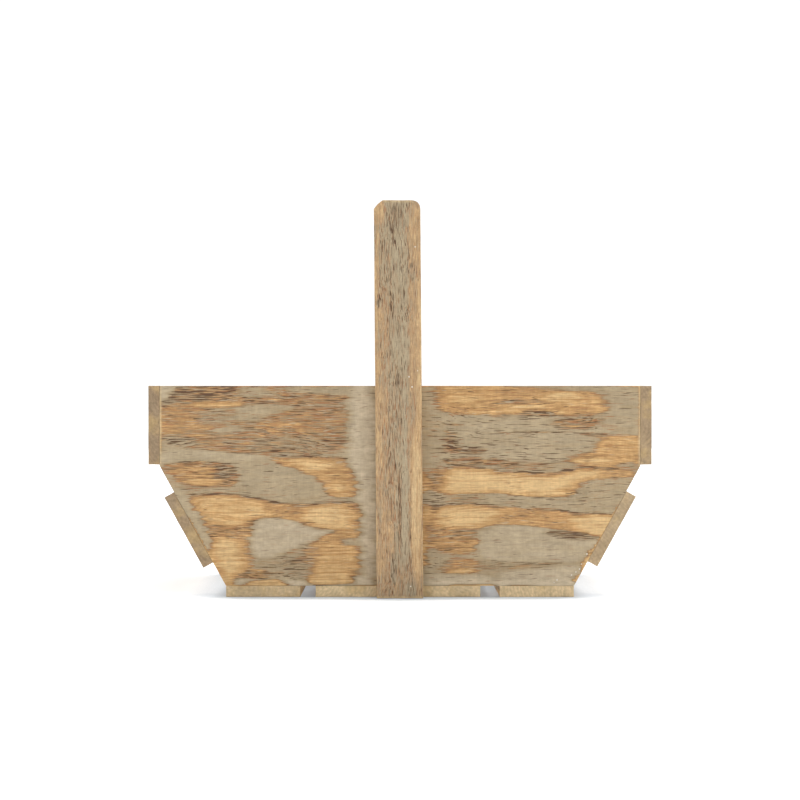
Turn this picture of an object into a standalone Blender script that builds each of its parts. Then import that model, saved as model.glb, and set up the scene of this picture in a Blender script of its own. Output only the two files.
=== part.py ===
"""A garden trug: two boat-shaped sides, eight slats nailed to their edges, and a round carrying handle.

Metres, +Z up. The long sides face -Y (front) and +Y (rear), and the origin lies on the ground under the
middle of the trug. Run it with blender --background --python part.py, or from Blender's text editor.
"""

import math

import bmesh
import bpy
from mathutils import Matrix

# Sides: two boards on edge, with short upright ends, slanting lower ends and a flat base
PANEL_RIM_WIDTH = 0.481
PANEL_BASE_WIDTH = 0.348
PANEL_HEIGHT = 0.200
PANEL_END_HEIGHT = 0.080
PANEL_THICKNESS = 0.012

# Slats: they run from side to side, flush with the sides' outer faces
BASKET_DEPTH = 0.270
SLAT_THICKNESS = 0.011
TOP_SLAT_SETBACK = 0.001  # how far its lower edge stops above the sides' corners
LOWER_SLAT_GAPS = {  # bare edge above and below each lower slat, along the slant
    "left": (0.0300, 0.0265),
    "right": (0.0289, 0.0278),
}
BOTTOM_SLAT_GAPS = (0.015, 0.016, 0.019)  # between the bottom slats, left to right

# Uprights: one up the middle of each side, from the ground to the handle
UPRIGHT_HEIGHT = 0.3955
UPRIGHT_WIDTH = 0.0465
UPRIGHT_THICKNESS = 0.015
UPRIGHT_LEAN = 0.003  # how far the top stands to the left of the foot
CORNER_DROP = 0.009  # how far down an upright's edge its rounded top corner starts
CORNER_SPAN = 0.009  # how far along its top that corner ends
LEFT_CORNER_FULLNESS_SHARE = 0.25
RIGHT_CORNER_FULLNESS_SHARE = 0.90

# Handle bar: a round rail, glued and pinned in a blind socket in each upright
HANDLE_DIAMETER = 0.028
HANDLE_DROP = 0.030  # from the uprights' tops down to its centre
HANDLE_SOCKET_DEPTH = 0.008
HANDLE_CHAMFER = 0.001

# Nails: two through each end of each slat, into the middle of a side's edge
NAIL_BITE = 0.019  # how deep they go into the side
NAIL_DIAMETER = 0.0018
NAIL_HEAD_DIAMETER = 0.0038
NAIL_HEAD_THICKNESS = 0.0008
NAIL_POINT = 0.003
NAIL_SPREAD_SHARE = 0.55  # of the slat's width, between the two nails

# Screws: three from inside each side into its upright
SCREW_DIAMETER = 0.0035
SCREW_HEAD_DIAMETER = 0.007
SCREW_HEAD_RIM = 0.0004  # the head's straight edge, above its cone
SCREW_HEAD_DEPTH = 0.0025
SCREW_POINT = 0.004
SCREW_BITE_SHARE = 0.75  # of the upright's thickness
SCREW_HEIGHT_SHARES = (0.15, 0.50, 0.87)  # of the side's height

# Handle pins: a thin brad from each upright's right edge through its socket into the rail
PIN_DIAMETER = 0.0016
PIN_HEAD_DIAMETER = 0.0026
PIN_HEAD_THICKNESS = 0.0006
PIN_POINT = 0.002
PIN_REACH_SHARE = 0.35  # of the rail's radius, past its centre

# What every piece shares
FIT_GAP = 0.0003  # between pieces that touch
FASTENER_SINK = 0.0004  # heads lie this far below the wood
ARRIS = 0.0008  # eased edges of every board
CUT_OVERRUN = 0.002  # how far a cutter stands out of the wood that it cuts
ARRIS_ANGLE = math.radians(40)  # only edges sharper than this are eased

# Fineness of round shapes
WELD_DISTANCE = 0.00001  # points nearer than this are one
FLAT_ANGLE = math.radians(0.1)  # faces that meet flatter than this are one
CORNER_STEPS = 6
HANDLE_SIDES = 32
FASTENER_SIDES = 10

SIDE_SIGNS = {"front": -1, "rear": 1}  # each long side's way along Y

# Weathered softwood under a thin grey wash, and steel
SIDE_COLOUR = (0.46, 0.32, 0.18)
SLAT_COLOUR = (0.42, 0.31, 0.18)
BOTTOM_SLAT_COLOUR = (0.48, 0.35, 0.19)
UPRIGHT_COLOUR = (0.43, 0.31, 0.20)
HANDLE_COLOUR = (0.50, 0.36, 0.20)
NAIL_COLOUR = (0.26, 0.23, 0.20)
SCREW_COLOUR = (0.62, 0.60, 0.55)
WOOD_ROUGHNESS = 0.82
STEEL_ROUGHNESS = 0.45


def clear_scene():
    for thing in list(bpy.data.objects):
        bpy.data.objects.remove(thing, do_unlink=True)


def new_collection(name):
    collection = bpy.data.collections.new(name)
    bpy.context.scene.collection.children.link(collection)
    return collection


def surface(name, colour, roughness, metallic=0.0):
    """A plain Principled material."""
    material = bpy.data.materials.new(name)
    material.use_nodes = True
    shader = material.node_tree.nodes["Principled BSDF"]
    shader.inputs["Base Color"].default_value = (*colour, 1.0)
    shader.inputs["Roughness"].default_value = roughness
    shader.inputs["Metallic"].default_value = metallic
    return material


def mesh_of(thing):
    """A mesh of its own from a curve or from an object with modifiers, welded and facing outwards."""
    graph = bpy.context.evaluated_depsgraph_get()
    mesh = bpy.data.meshes.new_from_object(thing.evaluated_get(graph))
    shape = bmesh.new()
    shape.from_mesh(mesh)
    bmesh.ops.remove_doubles(shape, verts=shape.verts, dist=WELD_DISTANCE)
    bmesh.ops.dissolve_limit(shape, angle_limit=FLAT_ANGLE, verts=shape.verts, edges=shape.edges)
    bmesh.ops.recalc_face_normals(shape, faces=shape.faces)
    shape.to_mesh(mesh)
    shape.free()
    return mesh


def outline_mesh(name, outline, thickness):
    """A flat board from its outline, which lies in X and Y, with its thickness centred on Z."""
    curve = bpy.data.curves.new(name, "CURVE")
    curve.dimensions = "2D"
    curve.fill_mode = "BOTH"
    curve.extrude = thickness / 2
    spline = curve.splines.new("POLY")
    spline.points.add(len(outline) - 1)
    for point, (across, up) in zip(spline.points, outline):
        point.co = (across, up, 0, 1)
    spline.use_cyclic_u = True
    drawn = bpy.data.objects.new(name, curve)
    bpy.context.scene.collection.objects.link(drawn)
    mesh = mesh_of(drawn)
    bpy.data.objects.remove(drawn, do_unlink=True)
    mesh.name = name
    return mesh


def turned_mesh(name, profile):
    """A solid turned about Z from the radius and height of each point down its outer side."""
    line = bpy.data.meshes.new(name)
    steps = [(index, index + 1) for index in range(len(profile) - 1)]
    line.from_pydata([(radius, 0, height) for radius, height in profile], steps, [])
    drawn = bpy.data.objects.new(name, line)
    bpy.context.scene.collection.objects.link(drawn)
    screw = drawn.modifiers.new("Turned", "SCREW")
    screw.axis = "Z"
    screw.angle = 2 * math.pi
    screw.steps = FASTENER_SIDES
    screw.render_steps = FASTENER_SIDES
    screw.use_merge_vertices = True
    screw.merge_threshold = WELD_DISTANCE
    mesh = mesh_of(drawn)
    bpy.data.objects.remove(drawn, do_unlink=True)
    mesh.name = name
    mesh.shade_smooth()
    mesh.set_sharp_from_angle(angle=ARRIS_ANGLE)
    return mesh


def place(name, mesh, frame, collection, material):
    """An object with this mesh in this frame."""
    piece = bpy.data.objects.new(name, mesh)
    collection.objects.link(piece)
    piece.matrix_world = frame
    piece.data.materials.clear()
    piece.data.materials.append(material)
    return piece


def primitive(name):
    """The primitive that was just added, under this name and out of every collection."""
    piece = bpy.context.object
    piece.name = name
    piece.data.name = name
    for collection in list(piece.users_collection):
        collection.objects.unlink(piece)
    return piece


def make_cutter(thing, *collections):
    """Hides a solid that is cut out of the pieces whose collections of cutters it joins."""
    for collection in collections:
        collection.objects.link(thing)
    thing.hide_render = True
    thing.display_type = "WIRE"


def place_cutter(name, mesh, frame, *collections):
    cutter = bpy.data.objects.new(name, mesh)
    cutter.matrix_world = frame
    make_cutter(cutter, *collections)


def ease_edges(piece, width):
    bevel = piece.modifiers.new("Eased edges", "BEVEL")
    bevel.width = width
    bevel.segments = 1
    bevel.limit_method = "ANGLE"
    bevel.angle_limit = ARRIS_ANGLE


def cut(piece, cutters):
    """Bores every cutter of this collection out of the piece."""
    bores = piece.modifiers.new("Bores", "BOOLEAN")
    bores.operation = "DIFFERENCE"
    bores.solver = "EXACT"
    bores.operand_type = "COLLECTION"
    bores.collection = cutters


def turned_about_y(angle):
    return Matrix.Rotation(angle, 4, "Y")


def turned_about_x(angle):
    return Matrix.Rotation(angle, 4, "X")


def panel_outline():
    """A side's outline, from its base's left corner round, with its base on the X axis."""
    rim = PANEL_RIM_WIDTH / 2
    base = PANEL_BASE_WIDTH / 2
    shoulder = PANEL_HEIGHT - PANEL_END_HEIGHT
    return [
        (-base, 0),
        (base, 0),
        (rim, shoulder),
        (rim, PANEL_HEIGHT),
        (-rim, PANEL_HEIGHT),
        (-rim, shoulder),
    ]


def panel_lift():
    """The height of a side's base above the ground."""
    return SLAT_THICKNESS + FIT_GAP


def make_panel(side, parts, cutters, material):
    """A side: one board on edge, drilled for the slats' nails and for its upright's screws."""
    mesh = outline_mesh(f"{side}_panel", panel_outline(), PANEL_THICKNESS)
    middle = SIDE_SIGNS[side] * (BASKET_DEPTH - PANEL_THICKNESS) / 2
    frame = Matrix.Translation((0, middle, panel_lift())) @ turned_about_x(math.pi / 2)
    panel = place(f"{side}_panel", mesh, frame, parts, material)
    ease_edges(panel, ARRIS)
    cut(panel, cutters)


def edge_frame(start, end, along):
    """A slat's frame on a side's edge: Z faces out, and the origin is the slat's inner face, this far along."""
    run = end[0] - start[0]
    rise = end[1] - start[1]
    length = math.hypot(run, rise)
    outward = (rise / length, -run / length)
    across = start[0] + along * run / length + FIT_GAP * outward[0]
    up = start[1] + along * rise / length + FIT_GAP * outward[1]
    place_on_edge = Matrix.Translation((across, 0, panel_lift() + up))
    return place_on_edge @ turned_about_y(math.atan2(outward[0], outward[1]))


def slat_seats():
    """The name, frame and width of each slat, in the order that the sides' edges take them."""
    base_left, base_right, right_corner, right_rim, left_rim, left_corner = panel_outline()
    slant = math.dist(base_right, right_corner)
    left_above, left_below = LOWER_SLAT_GAPS["left"]
    right_above, right_below = LOWER_SLAT_GAPS["right"]
    left_width = slant - left_above - left_below
    right_width = slant - right_above - right_below
    top_width = PANEL_END_HEIGHT - TOP_SLAT_SETBACK
    bottom_width = (PANEL_BASE_WIDTH - sum(BOTTOM_SLAT_GAPS)) / (len(BOTTOM_SLAT_GAPS) + 1)
    seats = [
        ("left_top_slat", edge_frame(left_rim, left_corner, top_width / 2), top_width),
        ("left_lower_slat", edge_frame(left_corner, base_left, left_above + left_width / 2), left_width),
    ]
    reached = 0
    for number, gap in enumerate((*BOTTOM_SLAT_GAPS, 0), start=1):
        frame = edge_frame(base_left, base_right, reached + bottom_width / 2)
        seats.append((f"bottom_slat_{number}", frame, bottom_width))
        reached += bottom_width + gap
    right_middle = right_below + right_width / 2
    seats.append(("right_lower_slat", edge_frame(base_right, right_corner, right_middle), right_width))
    top_middle = PANEL_END_HEIGHT - top_width / 2
    seats.append(("right_top_slat", edge_frame(right_corner, right_rim, top_middle), top_width))
    return seats


def make_slat(name, seat, width, parts, cutters, material):
    """A slat: a sawn board across both sides, drilled for its four nails."""
    bpy.ops.mesh.primitive_cube_add(size=1)
    bpy.context.object.scale = (width, BASKET_DEPTH, SLAT_THICKNESS)
    bpy.ops.object.transform_apply(location=False, rotation=False, scale=True)
    slat = primitive(name)
    parts.objects.link(slat)
    slat.matrix_world = seat @ Matrix.Translation((0, 0, SLAT_THICKNESS / 2))
    slat.data.materials.append(material)
    ease_edges(slat, ARRIS)
    cut(slat, cutters)


def upright_middle(height):
    """How far across an upright's middle lies at this height, as it leans to the left."""
    return -UPRIGHT_LEAN * height / UPRIGHT_HEIGHT


def eased_corner(start, corner, end, fullness):
    """A curve from start to end that bulges towards the corner: 0 is a straight chamfer, 1 nearly a round."""
    points = []
    for step in range(CORNER_STEPS + 1):
        share = step / CORNER_STEPS
        early, middle, late = (1 - share) ** 2, 2 * share * (1 - share), share**2
        point = []
        for first, pull, last in zip(start, corner, end):
            halfway = (first + last) / 2
            drawn = halfway + fullness * (pull - halfway)
            point.append(early * first + middle * drawn + late * last)
        points.append(tuple(point))
    return points


def upright_outline():
    """An upright's outline, from its foot's left corner round, with its foot on the X axis."""
    half = UPRIGHT_WIDTH / 2
    low = UPRIGHT_HEIGHT - CORNER_DROP
    top = upright_middle(UPRIGHT_HEIGHT)
    eased = upright_middle(low)
    right = eased_corner(
        (eased + half, low),
        (top + half, UPRIGHT_HEIGHT),
        (top + half - CORNER_SPAN, UPRIGHT_HEIGHT),
        RIGHT_CORNER_FULLNESS_SHARE,
    )
    left = eased_corner(
        (top - half + CORNER_SPAN, UPRIGHT_HEIGHT),
        (top - half, UPRIGHT_HEIGHT),
        (eased - half, low),
        LEFT_CORNER_FULLNESS_SHARE,
    )
    return [(-half, 0), (half, 0), *right, *left]


def make_upright(side, parts, cutters, material):
    """An upright: a leaning board with rounded top corners, bored for the handle, its pin and the screws."""
    mesh = outline_mesh(f"{side}_upright", upright_outline(), UPRIGHT_THICKNESS)
    middle = SIDE_SIGNS[side] * (BASKET_DEPTH / 2 + FIT_GAP + UPRIGHT_THICKNESS / 2)
    frame = Matrix.Translation((0, middle, 0)) @ turned_about_x(math.pi / 2)
    upright = place(f"{side}_upright", mesh, frame, parts, material)
    ease_edges(upright, ARRIS)
    cut(upright, cutters)


def handle_height():
    return UPRIGHT_HEIGHT - HANDLE_DROP


def round_bar(name, radius, length, centre):
    """A round bar along Y with its middle at this place."""
    bpy.ops.mesh.primitive_cylinder_add(vertices=HANDLE_SIDES, radius=radius, depth=length)
    bar = primitive(name)
    bar.matrix_world = Matrix.Translation(centre) @ turned_about_x(math.pi / 2)
    bar.data.shade_smooth()
    bar.data.set_sharp_from_angle(angle=ARRIS_ANGLE)
    return bar


def make_handle(parts, cutters, material):
    """The handle bar: a round rail between the uprights, drilled at each end for its pin."""
    length = BASKET_DEPTH + 2 * HANDLE_SOCKET_DEPTH
    centre = (upright_middle(handle_height()), 0, handle_height())
    bar = round_bar("handle_bar", HANDLE_DIAMETER / 2, length, centre)
    parts.objects.link(bar)
    bar.data.materials.append(material)
    ease_edges(bar, HANDLE_CHAMFER)
    cut(bar, cutters)


def bore_handle_socket(side, cutters):
    """The blind socket in an upright's inner face that takes the rail's end."""
    face = BASKET_DEPTH / 2 + FIT_GAP
    depth = HANDLE_SOCKET_DEPTH + CUT_OVERRUN
    middle = SIDE_SIGNS[side] * (face + HANDLE_SOCKET_DEPTH - depth / 2)
    centre = (upright_middle(handle_height()), middle, handle_height())
    socket = round_bar(f"{side}_handle_socket", HANDLE_DIAMETER / 2 + FIT_GAP, depth, centre)
    make_cutter(socket, cutters)


def nail_profile(length, shank, head, head_thickness, point, clearance, top):
    """Radius and height down a nail driven in at height 0, or down the bore that clears it."""
    under_head = -FASTENER_SINK - head_thickness - clearance
    return [
        (0, top),
        (head / 2 + clearance, top),
        (head / 2 + clearance, under_head),
        (shank / 2 + clearance, under_head),
        (shank / 2 + clearance, point - length),
        (0, -length - clearance),
    ]


def screw_profile(length, clearance, top):
    """Radius and height down a countersunk screw driven in at height 0, or down the bore that clears it."""
    return [
        (0, top),
        (SCREW_HEAD_DIAMETER / 2 + clearance, top),
        (SCREW_HEAD_DIAMETER / 2 + clearance, -FASTENER_SINK - SCREW_HEAD_RIM - clearance),
        (SCREW_DIAMETER / 2 + clearance, -FASTENER_SINK - SCREW_HEAD_DEPTH - clearance),
        (SCREW_DIAMETER / 2 + clearance, SCREW_POINT - length),
        (0, -length - clearance),
    ]


def nail_meshes():
    """A slat nail and the bore for it."""
    size = (
        SLAT_THICKNESS + FIT_GAP + NAIL_BITE,
        NAIL_DIAMETER,
        NAIL_HEAD_DIAMETER,
        NAIL_HEAD_THICKNESS,
        NAIL_POINT,
    )
    nail = turned_mesh("nail", nail_profile(*size, 0, -FASTENER_SINK))
    bore = turned_mesh("nail_bore", nail_profile(*size, FIT_GAP, CUT_OVERRUN))
    return nail, bore


def screw_meshes():
    """An upright's screw and the bore for it."""
    length = PANEL_THICKNESS + FIT_GAP + SCREW_BITE_SHARE * UPRIGHT_THICKNESS
    screw = turned_mesh("screw", screw_profile(length, 0, -FASTENER_SINK))
    bore = turned_mesh("screw_bore", screw_profile(length, FIT_GAP, CUT_OVERRUN))
    return screw, bore


def pin_meshes():
    """A handle pin and the bore for it."""
    size = (
        UPRIGHT_WIDTH / 2 + PIN_REACH_SHARE * HANDLE_DIAMETER / 2,
        PIN_DIAMETER,
        PIN_HEAD_DIAMETER,
        PIN_HEAD_THICKNESS,
        PIN_POINT,
    )
    pin = turned_mesh("handle_pin", nail_profile(*size, 0, -FASTENER_SINK))
    bore = turned_mesh("handle_pin_bore", nail_profile(*size, FIT_GAP, CUT_OVERRUN))
    return pin, bore


def nail_frames(seat, width, side):
    """Where a slat's nails enter its outer face, over the middle of one side's edge."""
    spread = width * NAIL_SPREAD_SHARE / 2
    over_side = SIDE_SIGNS[side] * (BASKET_DEPTH - PANEL_THICKNESS) / 2
    return [seat @ Matrix.Translation((across, over_side, SLAT_THICKNESS)) for across in (-spread, spread)]


def screw_frames(side):
    """Where an upright's screws enter the inner face of its side."""
    face = SIDE_SIGNS[side] * (BASKET_DEPTH / 2 - PANEL_THICKNESS)
    towards_inside = turned_about_x(SIDE_SIGNS[side] * math.pi / 2)
    frames = []
    for share in SCREW_HEIGHT_SHARES:
        height = panel_lift() + share * PANEL_HEIGHT
        frames.append(Matrix.Translation((upright_middle(height), face, height)) @ towards_inside)
    return frames


def pin_frame(side):
    """Where the handle's pin enters the right edge of an upright, over the middle of the socket."""
    depth = SIDE_SIGNS[side] * (BASKET_DEPTH / 2 + FIT_GAP + HANDLE_SOCKET_DEPTH / 2)
    edge = upright_middle(handle_height()) + UPRIGHT_WIDTH / 2
    return Matrix.Translation((edge, depth, handle_height())) @ turned_about_y(math.pi / 2)


def build_trug():
    clear_scene()
    parts = new_collection("garden_trug")
    side_cutters = {side: new_collection(f"{side}_panel_cutters") for side in SIDE_SIGNS}
    upright_cutters = {side: new_collection(f"{side}_upright_cutters") for side in SIDE_SIGNS}
    handle_cutters = new_collection("handle_bar_cutters")

    nail, nail_bore = nail_meshes()
    steel = surface("nail_steel", NAIL_COLOUR, STEEL_ROUGHNESS, 1.0)
    for name, seat, width in slat_seats():
        slat_cutters = new_collection(f"{name}_cutters")
        number = 0
        for side in SIDE_SIGNS:
            for frame in nail_frames(seat, width, side):
                number += 1
                place(f"{name}_nail_{number}", nail, frame, parts, steel)
                bore_name = f"{name}_nail_bore_{number}"
                place_cutter(bore_name, nail_bore, frame, slat_cutters, side_cutters[side])
        colour = BOTTOM_SLAT_COLOUR if name.startswith("bottom") else SLAT_COLOUR
        make_slat(name, seat, width, parts, slat_cutters, surface(name, colour, WOOD_ROUGHNESS))

    screw, screw_bore = screw_meshes()
    pin, pin_bore = pin_meshes()
    zinc = surface("screw_zinc", SCREW_COLOUR, STEEL_ROUGHNESS, 1.0)
    for side in SIDE_SIGNS:
        for number, frame in enumerate(screw_frames(side), start=1):
            place(f"{side}_upright_screw_{number}", screw, frame, parts, zinc)
            bore_name = f"{side}_screw_bore_{number}"
            place_cutter(bore_name, screw_bore, frame, side_cutters[side], upright_cutters[side])
        place(f"{side}_handle_pin", pin, pin_frame(side), parts, steel)
        place_cutter(f"{side}_pin_bore", pin_bore, pin_frame(side), upright_cutters[side], handle_cutters)
        bore_handle_socket(side, upright_cutters[side])
        side_wood = surface(f"{side}_panel", SIDE_COLOUR, WOOD_ROUGHNESS)
        make_panel(side, parts, side_cutters[side], side_wood)
        upright_wood = surface(f"{side}_upright", UPRIGHT_COLOUR, WOOD_ROUGHNESS)
        make_upright(side, parts, upright_cutters[side], upright_wood)
    make_handle(parts, handle_cutters, surface("handle_bar", HANDLE_COLOUR, WOOD_ROUGHNESS))


build_trug()
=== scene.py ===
import math

import bmesh
import bpy
import numpy
from mathutils import Matrix, Vector


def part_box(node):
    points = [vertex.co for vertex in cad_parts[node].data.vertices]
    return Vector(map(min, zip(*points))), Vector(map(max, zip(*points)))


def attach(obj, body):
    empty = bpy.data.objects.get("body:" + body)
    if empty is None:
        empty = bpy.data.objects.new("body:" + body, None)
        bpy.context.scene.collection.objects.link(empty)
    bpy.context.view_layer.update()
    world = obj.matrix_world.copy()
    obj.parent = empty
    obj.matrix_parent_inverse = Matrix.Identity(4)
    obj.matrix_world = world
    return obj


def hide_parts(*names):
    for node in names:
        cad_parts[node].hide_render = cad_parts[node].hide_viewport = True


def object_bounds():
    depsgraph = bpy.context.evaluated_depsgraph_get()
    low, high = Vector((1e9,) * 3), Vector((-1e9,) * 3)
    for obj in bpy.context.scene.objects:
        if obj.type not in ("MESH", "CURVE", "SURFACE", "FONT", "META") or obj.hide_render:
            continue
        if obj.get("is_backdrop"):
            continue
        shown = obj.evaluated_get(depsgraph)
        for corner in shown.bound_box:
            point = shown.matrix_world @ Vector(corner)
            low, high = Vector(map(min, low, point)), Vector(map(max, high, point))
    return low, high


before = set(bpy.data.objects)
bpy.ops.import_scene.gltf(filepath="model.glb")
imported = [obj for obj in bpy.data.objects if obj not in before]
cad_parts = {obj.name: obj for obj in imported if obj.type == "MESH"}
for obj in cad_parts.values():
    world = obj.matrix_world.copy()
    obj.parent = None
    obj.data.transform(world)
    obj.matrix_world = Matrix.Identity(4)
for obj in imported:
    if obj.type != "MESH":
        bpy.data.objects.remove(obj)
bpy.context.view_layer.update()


# The camera. It stands square to the trug's long side, at half the trug's height, and far off, so that
# the picture is nearly flat: one pixel of it is one millimetre on the front panel's face.
PICTURE_WIDTH = 800  # pixels
PIXEL_SIZE = 0.001
EYE_DISTANCE = 2.0  # from the front panel's face
EYE_HEIGHT = 0.197
SENSOR_WIDTH = 36.0  # in millimetres, as Blender gives a lens

camera = bpy.data.objects.new("camera", bpy.data.cameras.new("camera"))
bpy.context.scene.collection.objects.link(camera)
camera.data.sensor_width = SENSOR_WIDTH
camera.data.lens = SENSOR_WIDTH * EYE_DISTANCE / (PICTURE_WIDTH * PIXEL_SIZE)
camera.location = (0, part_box("front_panel")[0].y - EYE_DISTANCE, EYE_HEIGHT)
camera.rotation_euler = (math.pi / 2, 0, 0)
bpy.context.scene.camera = camera


# The two long sides: boat-shaped panels, each sawn from one wide softwood board with its grain level,
# nailed through the slats and screwed to the uprights. The wood is scorched, brushed, thinly washed
# grey-beige and rubbed back: soft wood shows as honey, scorched grain as dark dashes.
PANEL_END_HEIGHT = 0.080  # of its short upright ends, under the rim
ARRIS_RADIUS = 0.0003  # of every board's eased edges
ARRIS_STEPS = 2
SHARP_ANGLE = math.radians(35)  # an edge sharper than this is eased
SMOOTH_ANGLE = math.radians(15)  # and one flatter than this is shaded smoothly
WELD_DISTANCE = 0.00001
FIT_GAP = 0.0003  # round each fastener and rail end in its bore
BORE_OVERRUN = 0.002  # how far a head's bore stands out of the wood

UP = Vector((0, 0, 1))
LEFT_TO_RIGHT = Vector((1, 0, 0))
FRONT_TO_BACK = Vector((0, 1, 0))


def own_frame(node, along, outward):
    """A board's place, read from its solid: X runs along the grain, Z out of its face, and the origin is
    its middle. Gives the place as a matrix, and the board's half sizes."""
    axes = Matrix((along, outward.cross(along), outward))
    corners = numpy.array([vertex.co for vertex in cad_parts[node].data.vertices])
    spans = corners @ numpy.array(axes).T
    low = spans.min(axis=0)
    high = spans.max(axis=0)
    turn = axes.transposed()
    middle = turn @ Vector((low + high) / 2)
    return Matrix.Translation(middle) @ turn.to_4x4(), Vector((high - low) / 2)


def fasteners_in(node):
    """The nails, screws and pins that reach into this board."""
    low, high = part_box(node)
    found = []
    for name in sorted(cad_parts):
        if not any(kind in name for kind in ("_nail_", "_screw_", "_pin")):
            continue
        start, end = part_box(name)
        if all(start[axis] < high[axis] and end[axis] > low[axis] for axis in range(3)):
            found.append(name)
    return found


def merged_copy(node):
    """A solid's shape, with its loose triangles joined."""
    shape = bmesh.new()
    shape.from_mesh(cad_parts[node].data)
    bmesh.ops.remove_doubles(shape, verts=shape.verts, dist=WELD_DISTANCE)
    return shape


def as_mesh(shape, name):
    mesh = bpy.data.meshes.new(name)
    shape.to_mesh(mesh)
    shape.free()
    return mesh


def as_cutter(shape, name):
    return bpy.data.objects.new(name, as_mesh(shape, name))


def bore_round(node, outward=None):
    """A cutter that clears a fastener or a rail: its solid, swollen by the fit, with its head drawn out."""
    cutter = merged_copy(node)
    cutter.normal_update()
    swollen = [(vertex, vertex.co + FIT_GAP * vertex.normal) for vertex in cutter.verts]
    if outward is not None:
        top = max(vertex.co.dot(outward) for vertex in cutter.verts) - WELD_DISTANCE
        swollen = [
            (vertex, place + BORE_OVERRUN * outward if vertex.co.dot(outward) > top else place)
            for vertex, place in swollen
        ]
    for vertex, place in swollen:
        vertex.co = place
    return as_cutter(cutter, f"bore_round_{node}")


def cut_bores(mesh, cutters):
    """The mesh with these cutters bored out of it."""
    bores = bpy.data.collections.new("bores")
    bpy.context.scene.collection.children.link(bores)
    for cutter in cutters:
        bores.objects.link(cutter)
    timber = bpy.data.objects.new("timber", mesh)
    bpy.context.scene.collection.objects.link(timber)
    cut = timber.modifiers.new("Bores", "BOOLEAN")
    cut.operation = "DIFFERENCE"
    cut.solver = "EXACT"
    cut.operand_type = "COLLECTION"
    cut.collection = bores
    bored = bpy.data.meshes.new_from_object(timber.evaluated_get(bpy.context.evaluated_depsgraph_get()))
    for thing in [timber, *cutters]:
        bpy.data.objects.remove(thing)
    bpy.data.collections.remove(bores)
    return bored


def thicken(shape, thickness):
    """Raises a flat face to a block with its faces outwards."""
    pushed = bmesh.ops.extrude_face_region(shape, geom=shape.faces[:])
    raised = [item for item in pushed["geom"] if isinstance(item, bmesh.types.BMVert)]
    bmesh.ops.translate(shape, vec=(0, 0, thickness), verts=raised)
    bmesh.ops.recalc_face_normals(shape, faces=shape.faces)


def ease_arrises(timber, radius):
    edges = [edge for edge in timber.edges if edge.calc_face_angle(0) > SHARP_ANGLE]
    bmesh.ops.bevel(
        timber, geom=edges, offset=radius, segments=ARRIS_STEPS, profile=0.5, affect="EDGES", material=-1
    )


def cut_grid(timber, place, axis, half, step):
    """Cuts the board across one of its own axes at even steps, so that its surface can be worn."""
    count = round(2 * half / step)
    direction = place.to_3x3().col[axis]
    for number in range(1, count):
        reach = half * (2 * number / count - 1)
        bmesh.ops.bisect_plane(
            timber,
            geom=[*timber.verts, *timber.edges, *timber.faces],
            dist=WELD_DISTANCE,
            plane_co=place.translation + reach * direction,
            plane_no=direction,
        )


def bore_and_grid(timber, place, halves, steps, cutters):
    """A shape's mesh, bored for what it holds and then cut to a fine grid."""
    bored = cut_bores(as_mesh(timber, "timber"), cutters)
    timber = bmesh.new()
    timber.from_mesh(bored)
    for axis, step in enumerate(steps):
        cut_grid(timber, place, axis, halves[axis], step)
    return as_mesh(timber, "timber")


def sawn_board(outline, place, halves, steps, cutters):
    """A board with eased arrises, bored for what it holds, and cut to a fine grid."""
    timber = bmesh.new()
    timber.faces.new([timber.verts.new((along, across, -halves.z)) for along, across in outline])
    thicken(timber, 2 * halves.z)
    ease_arrises(timber, ARRIS_RADIUS)
    bmesh.ops.transform(timber, matrix=place, verts=timber.verts)
    return bore_and_grid(timber, place, halves, steps, cutters)


def smooth_step(low, high, value):
    share = numpy.clip((value - low) / (high - low), 0, 1)
    return share * share * (3 - 2 * share)


def between(ends, share):
    return ends[0] + (ends[1] - ends[0]) * share


def laid_over(below, cover, above):
    return below + cover * (above - below)


NOISE_TABLE_SIZE = 128


def soft_noise(along, across, step, seed):
    """Smooth chance values from 0 to 1, which change over these steps along and across the grain."""
    size = NOISE_TABLE_SIZE
    table = numpy.random.default_rng(seed).random((size, size))
    along = along / step[0]
    across = across / step[1]
    column = numpy.floor(along).astype(int)
    row = numpy.floor(across).astype(int)
    run = smooth_step(0, 1, along - column)
    rise = smooth_step(0, 1, across - row)
    left, right = column % size, (column + 1) % size
    low, high = row % size, (row + 1) % size
    near = laid_over(table[left, low], rise, table[left, high])
    far = laid_over(table[right, low], rise, table[right, high])
    return laid_over(near, run, far)


def outline_depths(outline, along, across):
    """How far inside each side of the outline every point lies, and each side's length."""
    starts = numpy.array(outline)
    sides = numpy.roll(starts, -1, axis=0) - starts
    lengths = numpy.hypot(sides[:, 0], sides[:, 1])
    inward = numpy.stack((-sides[:, 1], sides[:, 0]), axis=1) / lengths[:, None]
    inward *= numpy.sign(((starts.mean(axis=0) - starts) * inward).sum(axis=1))[:, None]
    return inward @ numpy.stack((along, across)) - (inward * starts).sum(axis=1)[:, None], lengths


LONG_SIDE = 0.015  # an outline's side longer than this is straight, not a step of a rounded corner


def arris_distance(outline, halves, places):
    """How far each point of a board's surface lies from its nearest arris."""
    depths, lengths = outline_depths(outline, places[:, 0], places[:, 1])
    edge = depths.min(axis=0)
    face = halves.z - numpy.abs(places[:, 2])
    corner = numpy.sort(depths[lengths > LONG_SIDE], axis=0)[1]
    return numpy.maximum(0, numpy.minimum(numpy.maximum(edge, face), numpy.maximum(edge, corner)))


def skin_depth(outline, halves, places):
    """How deep under the board's surface each point lies, as in a bore."""
    depths = outline_depths(outline, places[:, 0], places[:, 1])[0]
    return numpy.minimum(depths.min(axis=0), halves.z - numpy.abs(places[:, 2]))


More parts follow.
